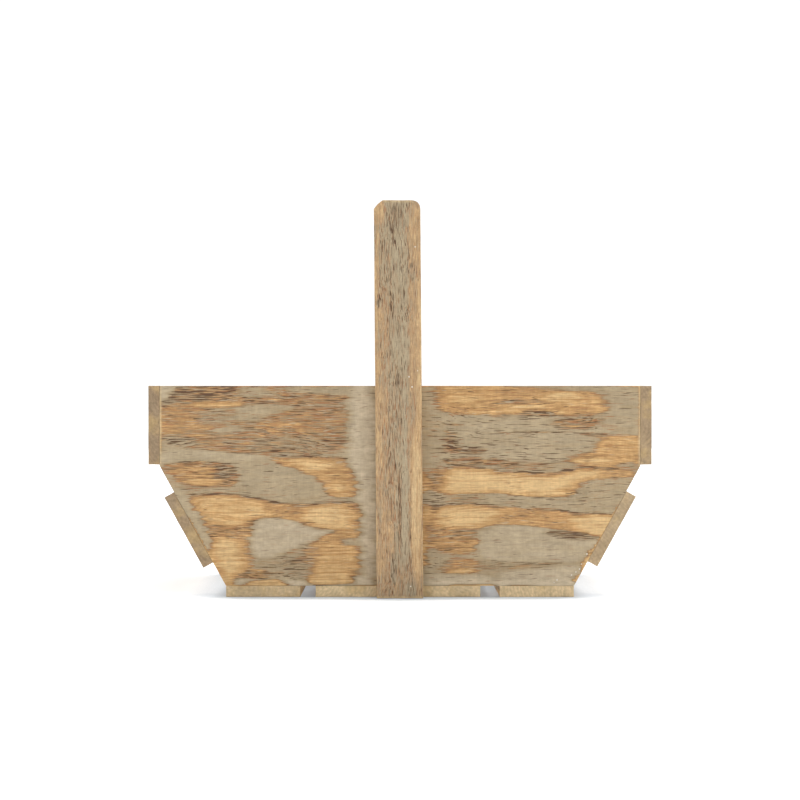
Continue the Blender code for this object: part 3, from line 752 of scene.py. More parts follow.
FRONT_PATCHES = (  # on the front panel, their corners from its middle and above the ground
    # upper left: streaks and dashes, half worn
    (0.42, 0.35, 0, 4, ((-245, 142), (-245, 215), (-45, 215), (-45, 142))),
    (0.56, 0.10, 0, 3, ((-245, 160), (-245, 190), (-200, 191), (-172, 188), (-172, 160))),
    (0.46, 0.85, 0, 3, ((-226, 195), (-222, 213), (-165, 213), (-160, 197))),
    (0.74, 0.00, 0, 2, ((-224, 190), (-205, 196), (-170, 196), (-150, 193), (-170, 190))),
    (0.28, 0.25, 0, 3, ((-202, 174), (-200, 188), (-170, 189), (-162, 180), (-168, 172))),
    (0.08, 0.05, 0, 2, ((-165, 177), (-168, 190), (-120, 193), (-100, 190), (-130, 183), (-142, 176))),
    (0.10, 0.10, 0, 2, ((-160, 200), (-158, 208), (-132, 209), (-128, 203), (-140, 200))),
    (0.05, 0.10, 0, 2, ((-110, 204), (-108, 213), (-45, 213), (-40, 204))),
    (0.50, 0.60, 0, 2, ((-132, 195), (-130, 201), (-70, 202), (-48, 199), (-60, 195))),
    (0.12, 0.10, 0, 2, ((-186, 164), (-184, 170), (-165, 171), (-150, 168), (-165, 163))),
    (0.52, 0.20, 0, 3, ((-142, 164), (-140, 178), (-90, 180), (-55, 178), (-52, 166))),
    (0.30, 0.55, 0, 2, ((-150, 143), (-150, 160), (-50, 161), (-48, 143))),
    (-0.40, 0.00, 0, 1.5, ((-245, 197), (-245, 214), (-228, 214), (-230, 204), (-237, 196))),
    (0.30, 1.00, 0, 2, (
        (-240, 189), (-238, 196), (-230, 204), (-226, 211), (-214, 211), (-216, 200), (-228, 194),
    )),
    (0.10, 0.90, 0, 2, ((-236, 152), (-236, 159), (-212, 160), (-206, 155), (-215, 151))),
    # The wash strip left of the upright is set lighter to offset the upright's shade on it. This is real
    # wash with painted light.
    (-0.60, 0.05, 0, 2, ((-52, 100), (-50, 190), (-46, 215), (-22, 215), (-22, 8), (-38, 8), (-38, 100))),
    # the wash below it
    (-0.15, 0.05, 0, 1.5, (
        (-245, 134), (-243, 148), (-190, 147), (-150, 143), (-128, 140), (-150, 134), (-200, 138),
    )),
    (-0.02, 0.08, 0, 2, (
        (-165, 132), (-145, 136), (-130, 134), (-112, 129), (-95, 124), (-80, 118), (-76, 110), (-76, 102),
        (-95, 99), (-118, 98), (-140, 103), (-165, 110),
    )),
    (0.18, 0.30, 0, 2, ((-226, 110), (-200, 110), (-160, 108), (-130, 101), (-160, 103), (-218, 103))),
    # two honey lobes that meet it
    (0.66, 0.45, 0.6, 1.5, (
        (-238, 130), (-225, 135), (-200, 136), (-180, 134), (-162, 131), (-161, 121), (-162, 113),
        (-172, 110), (-200, 110), (-220, 112), (-231, 121),
    )),
    (0.30, 0.90, 0, 2, ((-184, 118), (-184, 132), (-163, 131), (-163, 118))),
    (0.88, 0.00, 0, 2, ((-218, 114), (-210, 118), (-190, 117), (-182, 113), (-195, 111))),
    (0.98, 0.00, 0.7, 1.5, (
        (-137, 139), (-118, 141), (-90, 141.5), (-60, 140.5), (-52, 136), (-50, 128), (-45, 122),
        (-42, 112), (-39, 104), (-46, 100), (-66, 100), (-74, 104), (-76, 112), (-82, 120), (-96, 124),
        (-112, 130),
    )),
    (0.70, 0.15, 0, 3, ((-84, 114), (-88, 127), (-60, 131), (-46, 126), (-44, 114))),
    # the long lobe with a neck
    (1.08, 0.00, 0.9, 1.5, (
        (-216, 100), (-205, 103), (-188, 104), (-168, 103.5), (-150, 101), (-132, 96), (-115, 93),
        (-100, 92.5), (-85, 94), (-70, 95.5), (-52, 95), (-41, 91), (-39, 82), (-39, 73), (-44, 68),
        (-56, 66.5), (-72, 67), (-88, 71), (-105, 76), (-122, 79.5), (-138, 79.5), (-150, 76), (-160, 70),
        (-175, 66), (-190, 68), (-198, 77), (-207, 88),
    )),
    (0.84, 0.05, 0, 4, ((-200, 82), (-202, 97), (-165, 101), (-142, 96), (-145, 78), (-172, 71))),
    (0.66, 0.15, 0, 3, ((-138, 80), (-142, 94), (-115, 92), (-92, 91), (-92, 76), (-115, 79))),
    (0.56, 0.50, 0, 2, (
        (-200, 70), (-185, 74), (-165, 72), (-148, 77), (-146, 58), (-170, 57), (-192, 58),
    )),
    (1.12, 0.00, 0.5, 1.8, (
        (-194, 58), (-180, 61), (-165, 59), (-152, 57), (-153, 47), (-150, 39), (-143, 35), (-150, 28),
        (-158, 23), (-164, 16), (-168, 8), (-180, 8), (-190, 30), (-196, 45),
    )),
    # the smooth wash under it, and the speckled wood to its right
    (-0.45, 0.00, 0, 1.2, (
        (-148, 72), (-142, 77), (-126, 79), (-110, 76), (-95, 71), (-78, 66), (-66, 63), (-80, 59),
        (-95, 54), (-108, 48), (-124, 41), (-141, 38), (-149, 44), (-150, 56),
    )),
    (0.16, 0.45, 0, 2, (
        (-143, 36), (-124, 41), (-108, 48), (-94, 55), (-80, 58), (-72, 55), (-84, 46), (-84, 32),
        (-95, 26), (-100, 16), (-128, 14), (-143, 22),
    )),
    (0.58, 0.55, 0, 2, ((-160, 22), (-148, 30), (-136, 29), (-128, 23), (-134, 14), (-158, 14))),
    (0.83, 0.05, 0, 2.5, (
        (-68, 66), (-42, 67), (-41, 60), (-60, 57), (-86, 56), (-96, 46), (-88, 40), (-88, 24), (-92, 14),
        (-42, 14), (-40, 50), (-55, 53),
    )),
    (0.72, 0.20, 0, 2.5, ((-86, 52), (-84, 60), (-62, 68), (-42, 68), (-42, 56), (-62, 51))),
    (0.52, 0.40, 0, 2, ((-102, 34), (-100, 47), (-88, 53), (-80, 47), (-84, 34))),
    (0.10, 0.20, 0, 1.5, ((-60, 52), (-58, 58), (-42, 59), (-40, 53))),
    (-0.70, 0.05, 0, 1.5, ((-168, 7), (-166, 19), (-120, 17), (-94, 16), (-60, 21), (-25, 20), (-25, 7))),
    (0.95, 0.00, 0, 2, ((-162, 7), (-160, 16), (-130, 18), (-112, 14), (-112, 7))),
    (0.90, 0.00, 0, 2, ((-92, 12), (-88, 22), (-60, 24), (-42, 20), (-46, 12))),
    (-0.10, 0.05, 0, 1.5, (
        (-231, 112), (-222, 109), (-212, 98), (-203, 84), (-196, 72), (-191, 60), (-190, 46), (-200, 46),
        (-235, 106),
    )),
    # upper right: a streaky honey band over long thin dashes in the wash
    (0.00, 0.42, 0, 4, ((22, 130), (22, 184), (150, 184), (205, 182), (205, 165), (190, 146), (150, 130))),
    (0.42, 0.50, 0, 2, ((150, 170), (154, 178), (200, 180), (212, 174), (190, 167))),
    (0.42, 0.60, 0, 1.5, ((38, 150), (38, 168), (56, 166), (60, 151))),
    (0.34, 0.50, 0, 1.5, ((24, 171), (26, 176), (62, 175), (66, 171))),
    (0.36, 1.00, 0, 0.7, ((92, 164.3), (94, 165.8), (186, 165.5), (190, 164))),
    (0.32, 0.45, 0, 2, ((98, 128), (100, 136), (150, 135), (162, 129), (130, 126))),
    (0.71, 0.18, 0, 2.5, (
        (28, 192), (32, 213), (100, 213), (150, 208), (205, 205), (208, 186), (200, 181), (150, 181),
        (120, 183), (95, 181), (75, 183), (55, 182), (40, 187),
    )),
    (1.00, 0.00, 0, 2, ((148, 196), (152, 204), (178, 205), (182, 197), (165, 194))),
    (0.88, 0.00, 0, 2, ((50, 196), (50, 204), (84, 204), (88, 198), (70, 193))),
    (0.84, 0.05, 0, 2, ((100, 187), (110, 191), (145, 192), (148, 188), (125, 186))),
    (0.44, 0.45, 0, 1.5, ((90, 192), (110, 198), (140, 197), (148, 194), (120, 192))),
    (0.40, 0.90, 0, 1.5, ((118, 180), (122, 187), (150, 186), (155, 181))),
    (0.06, 0.15, 0, 2, (
        (205, 213), (245, 213), (245, 164), (226, 164), (214, 170), (205, 180), (212, 190),
    )),
    (0.10, 0.20, 0, 2, ((22, 134), (22, 213), (32, 213), (36, 190), (42, 180), (44, 150), (40, 134))),
    (0.40, 0.80, 0, 1.5, ((184, 162), (188, 165), (204, 165), (214, 162), (208, 158), (196, 159))),
    (0.40, 0.70, 0, 2, ((40, 150), (60, 151), (88, 148), (88, 142), (42, 143))),
    (0.44, 0.65, 0, 2, ((40, 132), (42, 139), (80, 140), (112, 136), (110, 131))),
    # the honey wood at the right end
    (0.74, 0.05, 0, 2.5, (
        (196, 150), (200, 159), (216, 161), (245, 163), (245, 130), (225, 128), (200, 128), (176, 132),
        (164, 138), (176, 142), (196, 145),
    )),
    (0.95, 0.00, 0, 1.5, ((172, 134), (180, 138), (205, 139), (216, 136), (205, 133))),
    (0.34, 0.25, 0, 2, ((218, 127), (222, 135), (240, 136), (240, 126))),
    (0.10, 0.30, 0, 2, (
        (176, 112), (190, 116), (208, 119), (232, 119), (226, 107), (214, 88), (180, 88), (174, 104),
    )),
    # the long lobe at the right
    (1.10, 0.00, 1.0, 1.3, (
        (31, 104), (32, 114), (37, 124), (46, 130), (58, 132), (74, 131), (88, 129), (98, 126),
        (120, 124.5), (150, 124), (165, 126), (176, 130), (190, 130), (210, 128), (236, 127), (236, 122),
        (208, 119), (190, 116), (176, 111), (176, 104), (168, 99.5), (145, 99), (125, 100), (106, 103),
        (84, 103), (56, 103.5),
    )),
    (0.58, 0.35, 0, 2.5, ((206, 118), (204, 128), (238, 128), (238, 120))),
    (0.56, 0.45, 0, 3, ((28, 104), (32, 124), (42, 132), (46, 124), (42, 108))),
    # Honey wood beside the upright's right edge, set brighter than the wood around it to offset the
    # upright's shade. This is real worn wood with painted light.
    (0.88, 0.00, 0, 2, ((18, 103), (18, 128), (26, 128), (28, 106))),
    (0.04, 1.00, 0, 1.5, ((24, 92), (24, 103), (42, 104), (47, 98), (42, 93))),
    (0.30, 0.25, 0, 2, ((46, 94), (46, 103), (84, 103), (88, 97), (80, 94))),
    (0.08, 0.40, 0, 1.5, (
        (82, 96), (86, 102), (106, 103), (125, 99.5), (145, 98.5), (176, 99), (222, 104), (212, 88),
        (180, 87), (140, 89), (105, 91),
    )),
    (1.06, 0.00, 0.9, 1.3, (
        (26, 90), (40, 92.5), (66, 93.5), (86, 92.5), (104, 90), (130, 88), (165, 86), (195, 83.5),
        (220, 82), (210, 66), (198, 60), (180, 63), (160, 66.5), (138, 70), (118, 73), (102, 73), (90, 70),
        (76, 68), (50, 68), (34, 69), (26, 73),
    )),
    (1.30, 0.00, 0, 3, ((184, 66), (188, 80), (222, 80), (205, 63))),
    (0.68, 0.12, 0, 3, ((92, 72), (96, 89), (130, 87), (170, 84), (176, 66), (140, 71), (118, 74))),
    (0.60, 0.30, 0, 2, ((24, 70), (24, 92), (34, 91), (36, 71))),
    # Honey wood beside the upright's right edge, set brighter than the wood around it to offset the
    # upright's shade. This is real worn wood with painted light.
    (0.92, 0.00, 0, 2, ((18, 28), (18, 94), (25, 94), (29, 80), (28, 28))),
    # below it, the smooth wash and the orange wood beside it
    (-0.28, 0.00, 0, 1.2, (
        (78, 64), (92, 69), (108, 72), (124, 71), (142, 68), (160, 64), (200, 59), (192, 46), (180, 34),
        (140, 33), (118, 33), (96, 36), (82, 40), (77, 52),
    )),
    (0.24, 0.90, 0, 1.5, ((140, 62), (150, 67), (180, 64), (198, 61), (196, 56), (170, 57))),
    (0.54, 0.40, 0, 2, ((26, 61), (28, 69), (76, 69), (80, 64), (70, 61))),
    (0.66, 0.30, 0, 2, ((26, 50), (28, 59), (60, 61), (82, 59), (82, 54), (74, 50), (72, 43), (44, 43))),
    (0.02, 0.45, 0, 2, ((27, 26), (27, 49), (42, 45), (44, 30))),
    (0.58, 0.20, 0, 2.5, ((42, 22), (42, 36), (72, 40), (84, 32), (76, 22))),
    (0.84, 0.00, 0, 1.5, ((48, 24), (50, 28), (68, 29), (72, 25))),
    (0.24, 0.40, 0, 2, ((76, 27), (82, 36), (120, 35), (160, 35), (172, 33), (140, 28), (100, 26))),
    # The lowest wash at the right of the base: these four patches are set lighter than the wash above to
    # offset the darker light near the floor. This is real wash with painted light laid on it.
    (-0.48, 0.05, 0, 2, ((95, 7), (96, 25), (140, 28), (176, 32), (182, 28), (172, 7))),
    (-0.85, 0.05, 0, 3, ((95, 7), (96, 16), (140, 17), (176, 18), (172, 7))),
    (-0.40, 0.10, 0, 2, ((22, 7), (22, 25), (60, 23), (96, 21), (96, 7))),
    (-0.85, 0.05, 0, 3, ((30, 7), (30, 17), (60, 18), (96, 17), (96, 7))),
    (1.05, 0.00, 0, 0.7, ((50, 10), (52, 12.8), (70, 12.6), (96, 12.9), (98, 10))),
    (0.92, 0.00, 0, 0.5, ((176, 8), (191, 34), (205, 58), (199, 60), (185, 36), (171, 10))),
)

WASH_UNDER = 0.12
CHAR_UNDER = 0.25


def paint_front(along, across, seed):
    """The front panel's own wear, over smooth wash."""
    wear = numpy.full(len(along), WASH_UNDER)
    char = CHAR_UNDER * soft_noise(along, across, CHAR_STEP, seed)
    low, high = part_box("front_panel")
    lift = 500 * (low.z + high.z)
    patches = []
    for *finish, corners in FRONT_PATCHES:
        patches.append((*finish, [(reach, height - lift) for reach, height in corners]))
    paint_patches(wear, char, along, across, patches, seed + 1)
    return wear, char


PANEL_STEPS = (0.0032, 0.0012, 0.0040)  # of its grid, along, across and through the board
PANEL_WORN = 0.36
PANEL_PITH = (0.0, 60.0, -90.0)
SNUG = 0.0002  # the slats are driven up to the panels' edges, closer than the solids show

rim_left, rim_right = (corner.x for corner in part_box("front_panel"))
base_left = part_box("bottom_slat_1")[0].x
base_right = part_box("bottom_slat_4")[1].x

PANELS = (("front", -FRONT_TO_BACK, 11, paint_front), ("rear", FRONT_TO_BACK, 23, None))
for side, outward, seed, paint in PANELS:
    node = f"{side}_panel"
    level = UP.cross(outward)
    place, halves = own_frame(node, level, outward)
    shoulder = halves.y - PANEL_END_HEIGHT
    corners = (
        (base_left - SNUG, -halves.y - SNUG),
        (base_right + SNUG, -halves.y - SNUG),
        (rim_right + SNUG, shoulder),
        (rim_right + SNUG, halves.y),
        (rim_left - SNUG, halves.y),
        (rim_left - SNUG, shoulder),
    )
    outline = [(level.x * across, height) for across, height in corners]
    cutters = []
    for fastener in fasteners_in(node):
        cutters.append(bore_round(fastener, -outward if "_screw_" in fastener else None))
    make_board(
        node, "side_wood", place, outline, halves, PANEL_STEPS, cutters, seed, PANEL_WORN, PANEL_PITH, paint
    )


# The eight slats: sawn boards nailed across the panels' edges, one on each upright end, one on each
# slanted end and four under the base. Their end grain shows at the front, flush with the panel's face.
SLAT_STEPS = (0.0030, 0.0022, 0.0040)
SLAT_FADE = 0.2

panel_low, panel_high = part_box("front_panel")
slant = Vector((rim_right - base_right, 0, panel_high.z - PANEL_END_HEIGHT - panel_low.z))
slant.normalize()
right_slant_outward = slant.cross(-FRONT_TO_BACK)
left_slant_outward = Vector((-right_slant_outward.x, 0, right_slant_outward.z))

SLATS = (  # which way it faces, slot, seed, how worn, pith in millimetres, and how freshly sawn and light its ends are
    ("left_top_slat", -LEFT_TO_RIGHT, "end_slat_wood", 31, 0.30, (0.0, -30.0, -60.0), 0.0),
    ("right_top_slat", LEFT_TO_RIGHT, "end_slat_wood", 37, 0.34, (0.0, 10.0, -40.0), 0.12),
    ("left_lower_slat", left_slant_outward, "end_slat_wood", 41, 0.40, (0.0, 20.0, -80.0), 0.05),
    ("right_lower_slat", right_slant_outward, "end_slat_wood", 43, 0.34, (0.0, -90.0, -30.0), 0.28),
    # The bottom slats' ends are set lighter partly to offset the darker light near the floor. This is
    # freshly sawn wood with painted light.
    ("bottom_slat_1", -UP, "bottom_slat_wood", 47, 0.36, (0.0, 10.0, -120.0), 0.63),
    ("bottom_slat_2", -UP, "bottom_slat_wood", 53, 0.32, (0.0, -70.0, -60.0), 0.93),
    ("bottom_slat_3", -UP, "bottom_slat_wood", 59, 0.38, (0.0, 40.0, -50.0), 0.83),
    ("bottom_slat_4", -UP, "bottom_slat_wood", 61, 0.42, (0.0, 160.0, -20.0), 0.86),
)

for node, outward, slot, seed, worn, pith, sawn in SLATS:
    place, halves = own_frame(node, FRONT_TO_BACK, outward)
    outline = [(-halves.x, -halves.y), (halves.x, -halves.y), (halves.x, halves.y), (-halves.x, halves.y)]
    cutters = [bore_round(nail, outward) for nail in fasteners_in(node) if nail.startswith(node)]
    make_board(
        node, slot, place, outline, halves, SLAT_STEPS, cutters, seed, worn, pith, fade=SLAT_FADE, sawn=sawn
    )


# The two uprights: narrow boards with their grain upright, screwed to the panels from inside. Their top
# corners are rounded by hand, the front one's unevenly, and both lean a little to the left.
UPRIGHT_WIDTH = 0.0465
CORNER_DROP = 0.009
CORNER_SPAN = 0.009
CORNER_STEPS = 8
LEFT_CORNER_FULLNESS = 0.25
RIGHT_CORNER_FULLNESS = 0.90
UPRIGHT_STEPS = (0.0034, 0.0015, 0.0040)
UPRIGHT_WORN = 0.36
UPRIGHT_PITH = (0.0, 40.0, -50.0)
UPRIGHT_FADE = 0.28
UPRIGHT_GRAIN = 0.62  # as coarse as the other boards'
UPRIGHT_WEAR = (0.0, 0.40)
UPRIGHT_WEAR_STEP = (0.08, 0.005)
UPRIGHT_CHAR = (0.1, 0.6)
UPRIGHT_CHAR_STEP = (0.05, 0.004)
MARK_DRIFT = 0.0015
MARK_DRIFT_STEP = (0.04, 0.02)
MARK_EDGE = (0.6, 1.4)  # a mark fades between these shares of its half sizes
MARK_SQUARENESS = 3  # 2 would make an ellipse of it

# A mark is given in millimetres: its middle above the ground and to the right, its half length and half
# width; then its turn in degrees, its wear and its char
UPRIGHT_MARKS = (
    (200, 15, 230, 6.5, 0, 0.48, 0.1),
    (200, 20.5, 230, 3.2, 0, 0.76, 0.0),
    (200, -21.5, 215, 2.2, 0, 0.70, 0.0),
    (345, 15, 40, 5.0, 0, 0.62, 0.0),
    (376, -1, 16, 8, 0, 0.22, 0.9),
    (384, -19, 12, 5, 0, 0.66, 0.0),
    (365, -6.5, 18, 0.9, 15, 0.34, 1.3),
    (357, -5, 8, 1.2, 0, 0.38, 1.2),
    (346, 9.5, 24, 0.8, 0, 0.40, 0.7),
    (340, -11, 8, 2.0, 0, 0.30, 1.0),
    (324, 14, 9, 5, 0, 0.36, 0.5),
    (310, -9, 50, 1.0, 0, 0.40, 0.5),
    (300, 4, 90, 4.0, 0, 0.18, 0.5),
    (243, 1, 20, 8, 0, 0.12, 0.4),
    (265, -15, 40, 5, 0, 0.50, 0.2),
    (295, -19, 7, 2.4, 0, 0.28, 1.1),
    (291, -6, 14, 1.3, 0, 0.34, 1.1),
    (286, 8.5, 14, 0.8, 0, 0.36, 1.0),
    (281, -20, 6, 3.5, 0, 0.78, 0.0),
    (240, 14, 45, 4, 0, 0.62, 0.0),
    (180, -4, 60, 9, 0, 0.32, 0.5),
    (192, -16, 22, 5, 0, 0.60, 0.1),
    (120, -16, 40, 6, 0, 0.58, 0.1),
    (128, -9, 16, 1.4, 0, 0.38, 0.9),
    (75, -8, 60, 6, 0, 0.46, 0.3),
    (82, 1.5, 38, 1.4, 0, 0.44, 1.1),
    (100, 6.5, 85, 3.0, 0, 0.12, 0.3),
    (60, 12.5, 34, 1.4, 0, 0.42, 0.9),
    (95, 17, 66, 4.4, 0, 0.94, 0.0),
    (16, -4, 16, 17, 0, 0.48, 0.2),
    (40, -16, 20, 4, 0, 0.64, 0.1),
    (28, -5, 14, 3, 0, 0.20, 0.8),
    (229, -20, 8, 2.6, 0, 0.78, 0.0),
    (154, -19, 13, 3.5, 0, 0.70, 0.0),
    (68, -12, 20, 6, 0, 0.62, 0.1),
    (8, 12, 8, 7, 0, 0.22, 0.5),
)


def paint_marks(wear, char, along, across, marks):
    """Lays the marks over a finish, each on those before it."""
    for middle_along, middle_across, half_length, half_width, turn, mark_wear, mark_char in marks:
        cosine = math.cos(math.radians(turn))
        sine = math.sin(math.radians(turn))
        run = 1000 * along - middle_along
        rise = 1000 * across - middle_across
        forward = numpy.abs(run * cosine + rise * sine) / half_length
        sideways = numpy.abs(rise * cosine - run * sine) / half_width
        reach = (forward**MARK_SQUARENESS + sideways**MARK_SQUARENESS) ** (1 / MARK_SQUARENESS)
        cover = 1 - smooth_step(*MARK_EDGE, reach)
        wear += cover * (mark_wear - wear)
        char += cover * (mark_char - char)


def paint_upright(along, across, seed):
    """The front upright's own wear. Its face is seen from the front, so right is against the board's Y."""
    wear = between(UPRIGHT_WEAR, soft_noise(along, across, UPRIGHT_WEAR_STEP, seed))
    char = between(UPRIGHT_CHAR, soft_noise(along, across, UPRIGHT_CHAR_STEP, seed + 1))
    drift = MARK_DRIFT * (soft_noise(along, across, MARK_DRIFT_STEP, seed + 2) - 0.5)
    middle = 500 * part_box("front_upright")[1].z
    marks = [(height - middle, -rightward, *rest) for height, rightward, *rest in UPRIGHT_MARKS]
    paint_marks(wear, char, along, across + drift, marks)
    return wear, char


def eased_corner(start, corner, end, fullness):
    """Points from start to end that bulge towards the corner: 0 is a straight chamfer, 1 nearly a round."""
    start, corner, end = Vector(start), Vector(corner), Vector(end)
    drawn = (start + end) / 2
    drawn += fullness * (corner - drawn)
    points = []
    for step in range(CORNER_STEPS + 1):
        share = step / CORNER_STEPS
        point = (1 - share) ** 2 * start + 2 * share * (1 - share) * drawn + share**2 * end
        points.append(tuple(point))
    return points


UPRIGHTS = (("front", -FRONT_TO_BACK, 67, paint_upright), ("rear", FRONT_TO_BACK, 71, None))
for side, outward, seed, paint in UPRIGHTS:
    node = f"{side}_upright"
    place, halves = own_frame(node, UP, outward)
    reach = halves.y
    lean = 2 * (reach - UPRIGHT_WIDTH / 2)
    height = 2 * halves.x
    eased_lean = lean * (height - CORNER_DROP) / height
    top_right = reach - lean
    right = eased_corner(
        (height - CORNER_DROP, reach - eased_lean),
        (height, top_right),
        (height, top_right - CORNER_SPAN),
        RIGHT_CORNER_FULLNESS,
    )
    left = eased_corner(
        (height, CORNER_SPAN - reach),
        (height, -reach),
        (height - CORNER_DROP, lean - eased_lean - reach),
        LEFT_CORNER_FULLNESS,
    )
    corners = [(0, reach - UPRIGHT_WIDTH), (0, reach), *right, *left]
    outline = [(raised - halves.x, outward.y * across) for raised, across in corners]
    fasteners = fasteners_in(node)
    cutters = [bore_round(screw) for screw in fasteners if "_screw_" in screw]
    cutters.append(bore_round("handle_bar"))
    cutters.extend(bore_round(pin, LEFT_TO_RIGHT) for pin in fasteners if "_pin" in pin)
    make_board(
        node, "upright_wood", place, outline, halves, UPRIGHT_STEPS, cutters, seed,
        UPRIGHT_WORN, UPRIGHT_PITH, paint, fade=UPRIGHT_FADE, coarseness=UPRIGHT_GRAIN,
    )


# The handle: a turned softwood rail, glued into blind sockets in the uprights and pinned there. Hands have
# rubbed most of the wash off its middle.
RAIL_SIDES = 64
RAIL_RINGS = 120
RAIL_CHAMFER = 0.001
RAIL_UNEVENNESS = 0.0002
RAIL_STEP = (0.03, 1.0)
RAIL_WORN = 0.45
RAIL_WRAP = 0.012  # the pattern swings this far across its grain round the rail
RAIL_SLANT = 0.3  # and shifts by this share of the way sideways
GRIP_REACH = 0.07
GRIP_WEAR = 0.92

place, halves = own_frame("handle_bar", FRONT_TO_BACK, UP)
rail = bmesh.new()
bmesh.ops.create_circle(rail, cap_ends=True, radius=halves.y, segments=RAIL_SIDES)
bmesh.ops.translate(rail, vec=(0, 0, -halves.x), verts=rail.verts)
thicken(rail, 2 * halves.x)
ease_arrises(rail, RAIL_CHAMFER)
bmesh.ops.transform(rail, matrix=place @ Matrix.Rotation(math.pi / 2, 4, "Y"), verts=rail.verts)
cutters = [bore_round(pin, LEFT_TO_RIGHT) for pin in fasteners_in("handle_bar")]
mesh = bore_and_grid(rail, place, halves, (2 * halves.x / RAIL_RINGS,), cutters)
places = own_places(mesh, place)
along = places[:, 0]
around = numpy.arctan2(places[:, 1], places[:, 2])
outer = numpy.hypot(places[:, 1], places[:, 2]) > halves.y - WELD_DISTANCE
sunk = RAIL_UNEVENNESS * soft_noise(along, 12 + numpy.cos(around), RAIL_STEP, 73) * outer
points = places * (1 - sunk / halves.y)[:, None] ** numpy.array([0, 1, 1])
turned = numpy.array(place)
move_points(mesh, points @ turned[:3, :3].T + turned[:3, 3])
wear, char = chance_finish(along, RAIL_WRAP * numpy.cos(around) + RAIL_SLANT * places[:, 1], 79, RAIL_WORN)
gripped = numpy.exp(-((along / GRIP_REACH) ** 2))
set_finish(mesh, laid_over(wear, gripped, GRIP_WEAR), char * (1 - gripped), end_grain(along, halves.x))
finish = timber_material("handle timber", place, (500.0, 90.0, 0.0), (0.0, 30.0, 10.0))
add_piece("handle_rail", mesh, finish, "handle_wood", "handle_bar")


# The specks of white paint that have dried on the front panel and its upright: flat drops, some by the
# right end of the base and some along the upright's right edge.
SPECK_HEIGHT = 0.00012  # from a drop's middle to its top
SPECK_STAND = 0.00002  # of a drop's middle in front of the panel's sawn face
UPRIGHT_SPECK_SINK = 0.00013  # on the upright they lie this deep, in its brushed grain
PAINT_WHITE = (236, 230, 216)
PAINT_SOILED = (214, 202, 180)
SPECKS = (  # to the right of the middle, above the ground, and radius, all in millimetres
    (187.0, 43.0, 0.85),
    (181.5, 33.0, 0.60),
    (179.5, 28.0, 0.75),
    (176.0, 25.0, 0.60),
    (171.5, 22.0, 0.75),
    (157.0, 17.0, 0.80),
    (154.0, 14.5, 0.50),
    (15.0, 349.0, 0.75),
    (9.0, 220.0, 0.70),
    (12.0, 210.0, 0.75),
    (17.5, 226.0, 0.50),
    (10.5, 12.0, 0.70),
)

material, tree = open_material("White paint")
soil = stretched_noise(tree, own_millimetres(tree), 0.6, 0.6, 3)
soiled = blended(tree, spread(tree, soil, 0.40, 0.65, 0.0, 1.0), tint(*PAINT_WHITE), tint(*PAINT_SOILED))
feeds = {"Base Color": soiled, "Roughness": spread(tree, soil, 0.3, 0.7, 0.45, 0.65)}
end_material(tree, "ShaderNodeBsdfPrincipled", feeds)

drops = bmesh.new()
panel_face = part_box("front_panel")[0].y
upright_low, upright_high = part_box("front_upright")
for reach, height, radius in SPECKS:
    on_upright = upright_low.x < reach / 1000 < upright_high.x
    front = upright_low.y + UPRIGHT_SPECK_SINK if on_upright else panel_face - SPECK_STAND
    size = Matrix.Diagonal((radius / 1000, SPECK_HEIGHT, radius / 1000, 1))
    placed = Matrix.Translation((reach / 1000, front, height / 1000)) @ size
    bmesh.ops.create_icosphere(drops, subdivisions=3, radius=1.0, matrix=placed)
add_piece("paint_specks", as_mesh(drops, "specks"), material, "side_wood")


# The fasteners: steel nails through the slats, zinc-plated screws through the panels into the uprights,
# and pins that lock the handle. All are driven just below the surface. The screws' heads have cross slots.
SLOT_REACH = 0.0020
SLOT_HALF_WIDTH = 0.00045
SLOT_DEPTH = 0.0016
SLOT_TAPER = 0.45  # of its size at the mouth, at the bottom
SLOT_TURN = 0.65  # from one screw to the next, in radians


def metal_material(name, bright, dull, roughness, dull_share):
    """Metal with blotches where it has gone dull or rusty."""
    material, tree = open_material(name)
    millimetres = own_millimetres(tree)
    blotches = stretched_noise(tree, millimetres, 0.9, 0.9, 4)
    pits = stretched_noise(tree, millimetres, 3.0, 3.0, 2)
    dulled = spread(tree, blotches, 0.62 - dull_share, 0.72 - dull_share, 0.0, 1.0, "SMOOTHSTEP")
    relief = shader_node(tree, "ShaderNodeBump", {"Strength": 0.4, "Distance": 0.0002, "Height": pits})
    feeds = {
        "Base Color": blended(tree, dulled, tint(*bright), tint(*dull)),
        "Roughness": spread(tree, dulled, 0.0, 1.0, roughness, 0.85),
        "Metallic": spread(tree, dulled, 0.0, 1.0, 1.0, 0.2),
        "Normal": relief.outputs["Normal"],
    }
    end_material(tree, "ShaderNodeBsdfPrincipled", feeds)
    return material


nail_steel = metal_material("Nail steel", (120, 112, 104), (84, 58, 42), 0.45, 0.15)
screw_zinc = metal_material("Screw zinc", (196, 192, 182), (134, 128, 118), 0.35, 0.08)
for name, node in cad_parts.items():
    if "_nail_" in name or "_pin" in name:
        node.data.materials.clear()
        node.data.materials.append(nail_steel)


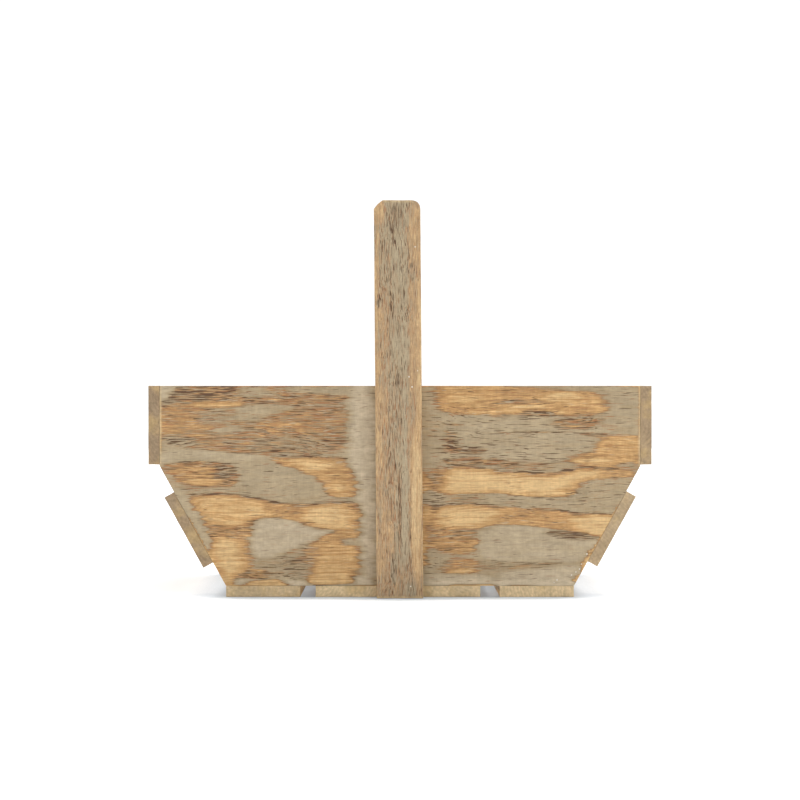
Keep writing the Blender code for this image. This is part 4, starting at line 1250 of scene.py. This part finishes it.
def cross_slot(middle, outward, turn):
    """A cutter for a screw's cross slot, which narrows towards its bottom."""
    arm = ((SLOT_REACH, -SLOT_HALF_WIDTH), (SLOT_REACH, SLOT_HALF_WIDTH), (SLOT_HALF_WIDTH, SLOT_HALF_WIDTH))
    cutter = bmesh.new()
    rings = []
    for size, depth in ((1.0, SLOT_DEPTH), (SLOT_TAPER, -SLOT_DEPTH)):
        ring = []
        for quarter in range(4):
            for point in arm:
                corner = Matrix.Rotation(turn + quarter * math.pi / 2, 2) @ Vector(point)
                ring.append(cutter.verts.new((size * corner.x, size * corner.y, depth)))
        rings.append(ring)
    mouth, bottom = rings
    cutter.faces.new(mouth)
    cutter.faces.new(reversed(bottom))
    for index, corner in enumerate(mouth):
        cutter.faces.new((mouth[index - 1], bottom[index - 1], bottom[index], corner))
    bmesh.ops.recalc_face_normals(cutter, faces=cutter.faces)
    bmesh.ops.triangulate(cutter, faces=cutter.faces)
    turned = outward.to_track_quat("Z", "Y").to_matrix().to_4x4()
    bmesh.ops.transform(cutter, matrix=Matrix.Translation(middle) @ turned, verts=cutter.verts)
    return as_cutter(cutter, "cross_slot")


for side, outward in (("front", FRONT_TO_BACK), ("rear", -FRONT_TO_BACK)):
    for number in (1, 2, 3):
        node = f"{side}_upright_screw_{number}"
        low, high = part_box(node)
        head = (low + high) / 2
        head.y = high.y if outward.y > 0 else low.y
        plain = as_mesh(merged_copy(node), f"plain_{node}")
        mesh = cut_bores(plain, [cross_slot(head, outward, number * SLOT_TURN)])
        add_piece(f"{node}_slotted", mesh, screw_zinc, "screw_zinc", node)


# The floor and the light: a white floor with a painted shadow that darkens it softly close to the timber,
# under an even white sky, with a broad sun overhead and one at each side, and a broad lamp in front and to
# the right.
FLOOR_HALF = 6.0
FLOOR_DROP = 0.0001  # just under the trug's foot
SHADOW_REACH = 0.045  # the painted shadow darkens the floor where timber is nearer than this
SHADOW_LEVELS = (0.71, 0.90)  # of the open view from a point of the floor
SHADOW_SAMPLES = 16
FLOOR_SHADED = (0.55, 0.59, 0.63, 1)
FLOOR_WHITE = (0.88, 0.90, 0.92, 1)
SKY_LIGHT = 0.50
SKY_SEEN = 1.1

floor = bmesh.new()
bmesh.ops.create_grid(floor, x_segments=1, y_segments=1, size=FLOOR_HALF)
bmesh.ops.translate(floor, vec=(0, 0, -FLOOR_DROP), verts=floor.verts)
floor = bpy.data.objects.new("floor", as_mesh(floor, "floor"))
bpy.context.scene.collection.objects.link(floor)
white, tree = open_material("floor white")
# The floor's colour carries a painted contact shadow: ambient occlusion darkens it where timber is near.
feeds = {"Distance": SHADOW_REACH}
occlusion = shader_node(tree, "ShaderNodeAmbientOcclusion", feeds, samples=SHADOW_SAMPLES)
openness = spread(tree, occlusion.outputs["AO"], *SHADOW_LEVELS, 0.0, 1.0)
end_material(tree, "ShaderNodeBsdfDiffuse", {"Color": blended(tree, openness, FLOOR_SHADED, FLOOR_WHITE)})
floor.data.materials.append(white)
floor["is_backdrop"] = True

sky = bpy.data.worlds.new("sky")
bpy.context.scene.world = sky
sky.use_nodes = True
tree = sky.node_tree
tree.nodes.clear()
seen = tree.nodes.new("ShaderNodeLightPath").outputs["Is Camera Ray"]
strength = spread(tree, seen, 0.0, 1.0, SKY_LIGHT, SKY_SEEN)
background = shader_node(tree, "ShaderNodeBackground", {"Color": (1, 1, 1, 1), "Strength": strength})
shader_node(tree, "ShaderNodeOutputWorld", {"Surface": background.outputs[0]})


def soft_lamp(name, kind, place, aim, power, **breadth):
    """A lamp at this place, aimed, with its breadth given as a sun's angle or a lamp's size."""
    lamp = bpy.data.lights.new(name, kind)
    lamp.energy = power
    for setting, value in breadth.items():
        setattr(lamp, setting, value)
    lamp_object = bpy.data.objects.new(name, lamp)
    lamp_object.location = place
    lamp_object.rotation_euler = (Vector(aim) - Vector(place)).to_track_quat("-Z", "Y").to_euler()
    bpy.context.scene.collection.objects.link(lamp_object)


soft_lamp("light overhead", "SUN", (0.2, 0.3, 3.0), (0, 0, 0), 1.8, angle=math.radians(110))
for name, side in (("light at the left", -3.0), ("light at the right", 3.0)):
    soft_lamp(name, "SUN", (side, 0.5, 2.2), (0, 0, 0), 2.0, angle=math.radians(50))
soft_lamp("lamp in front", "AREA", (1.3, -2.3, 1.5), (0, 0, 0.15), 9, size=1.6)
bpy.context.scene.view_settings.view_transform = "Standard"


low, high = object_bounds()
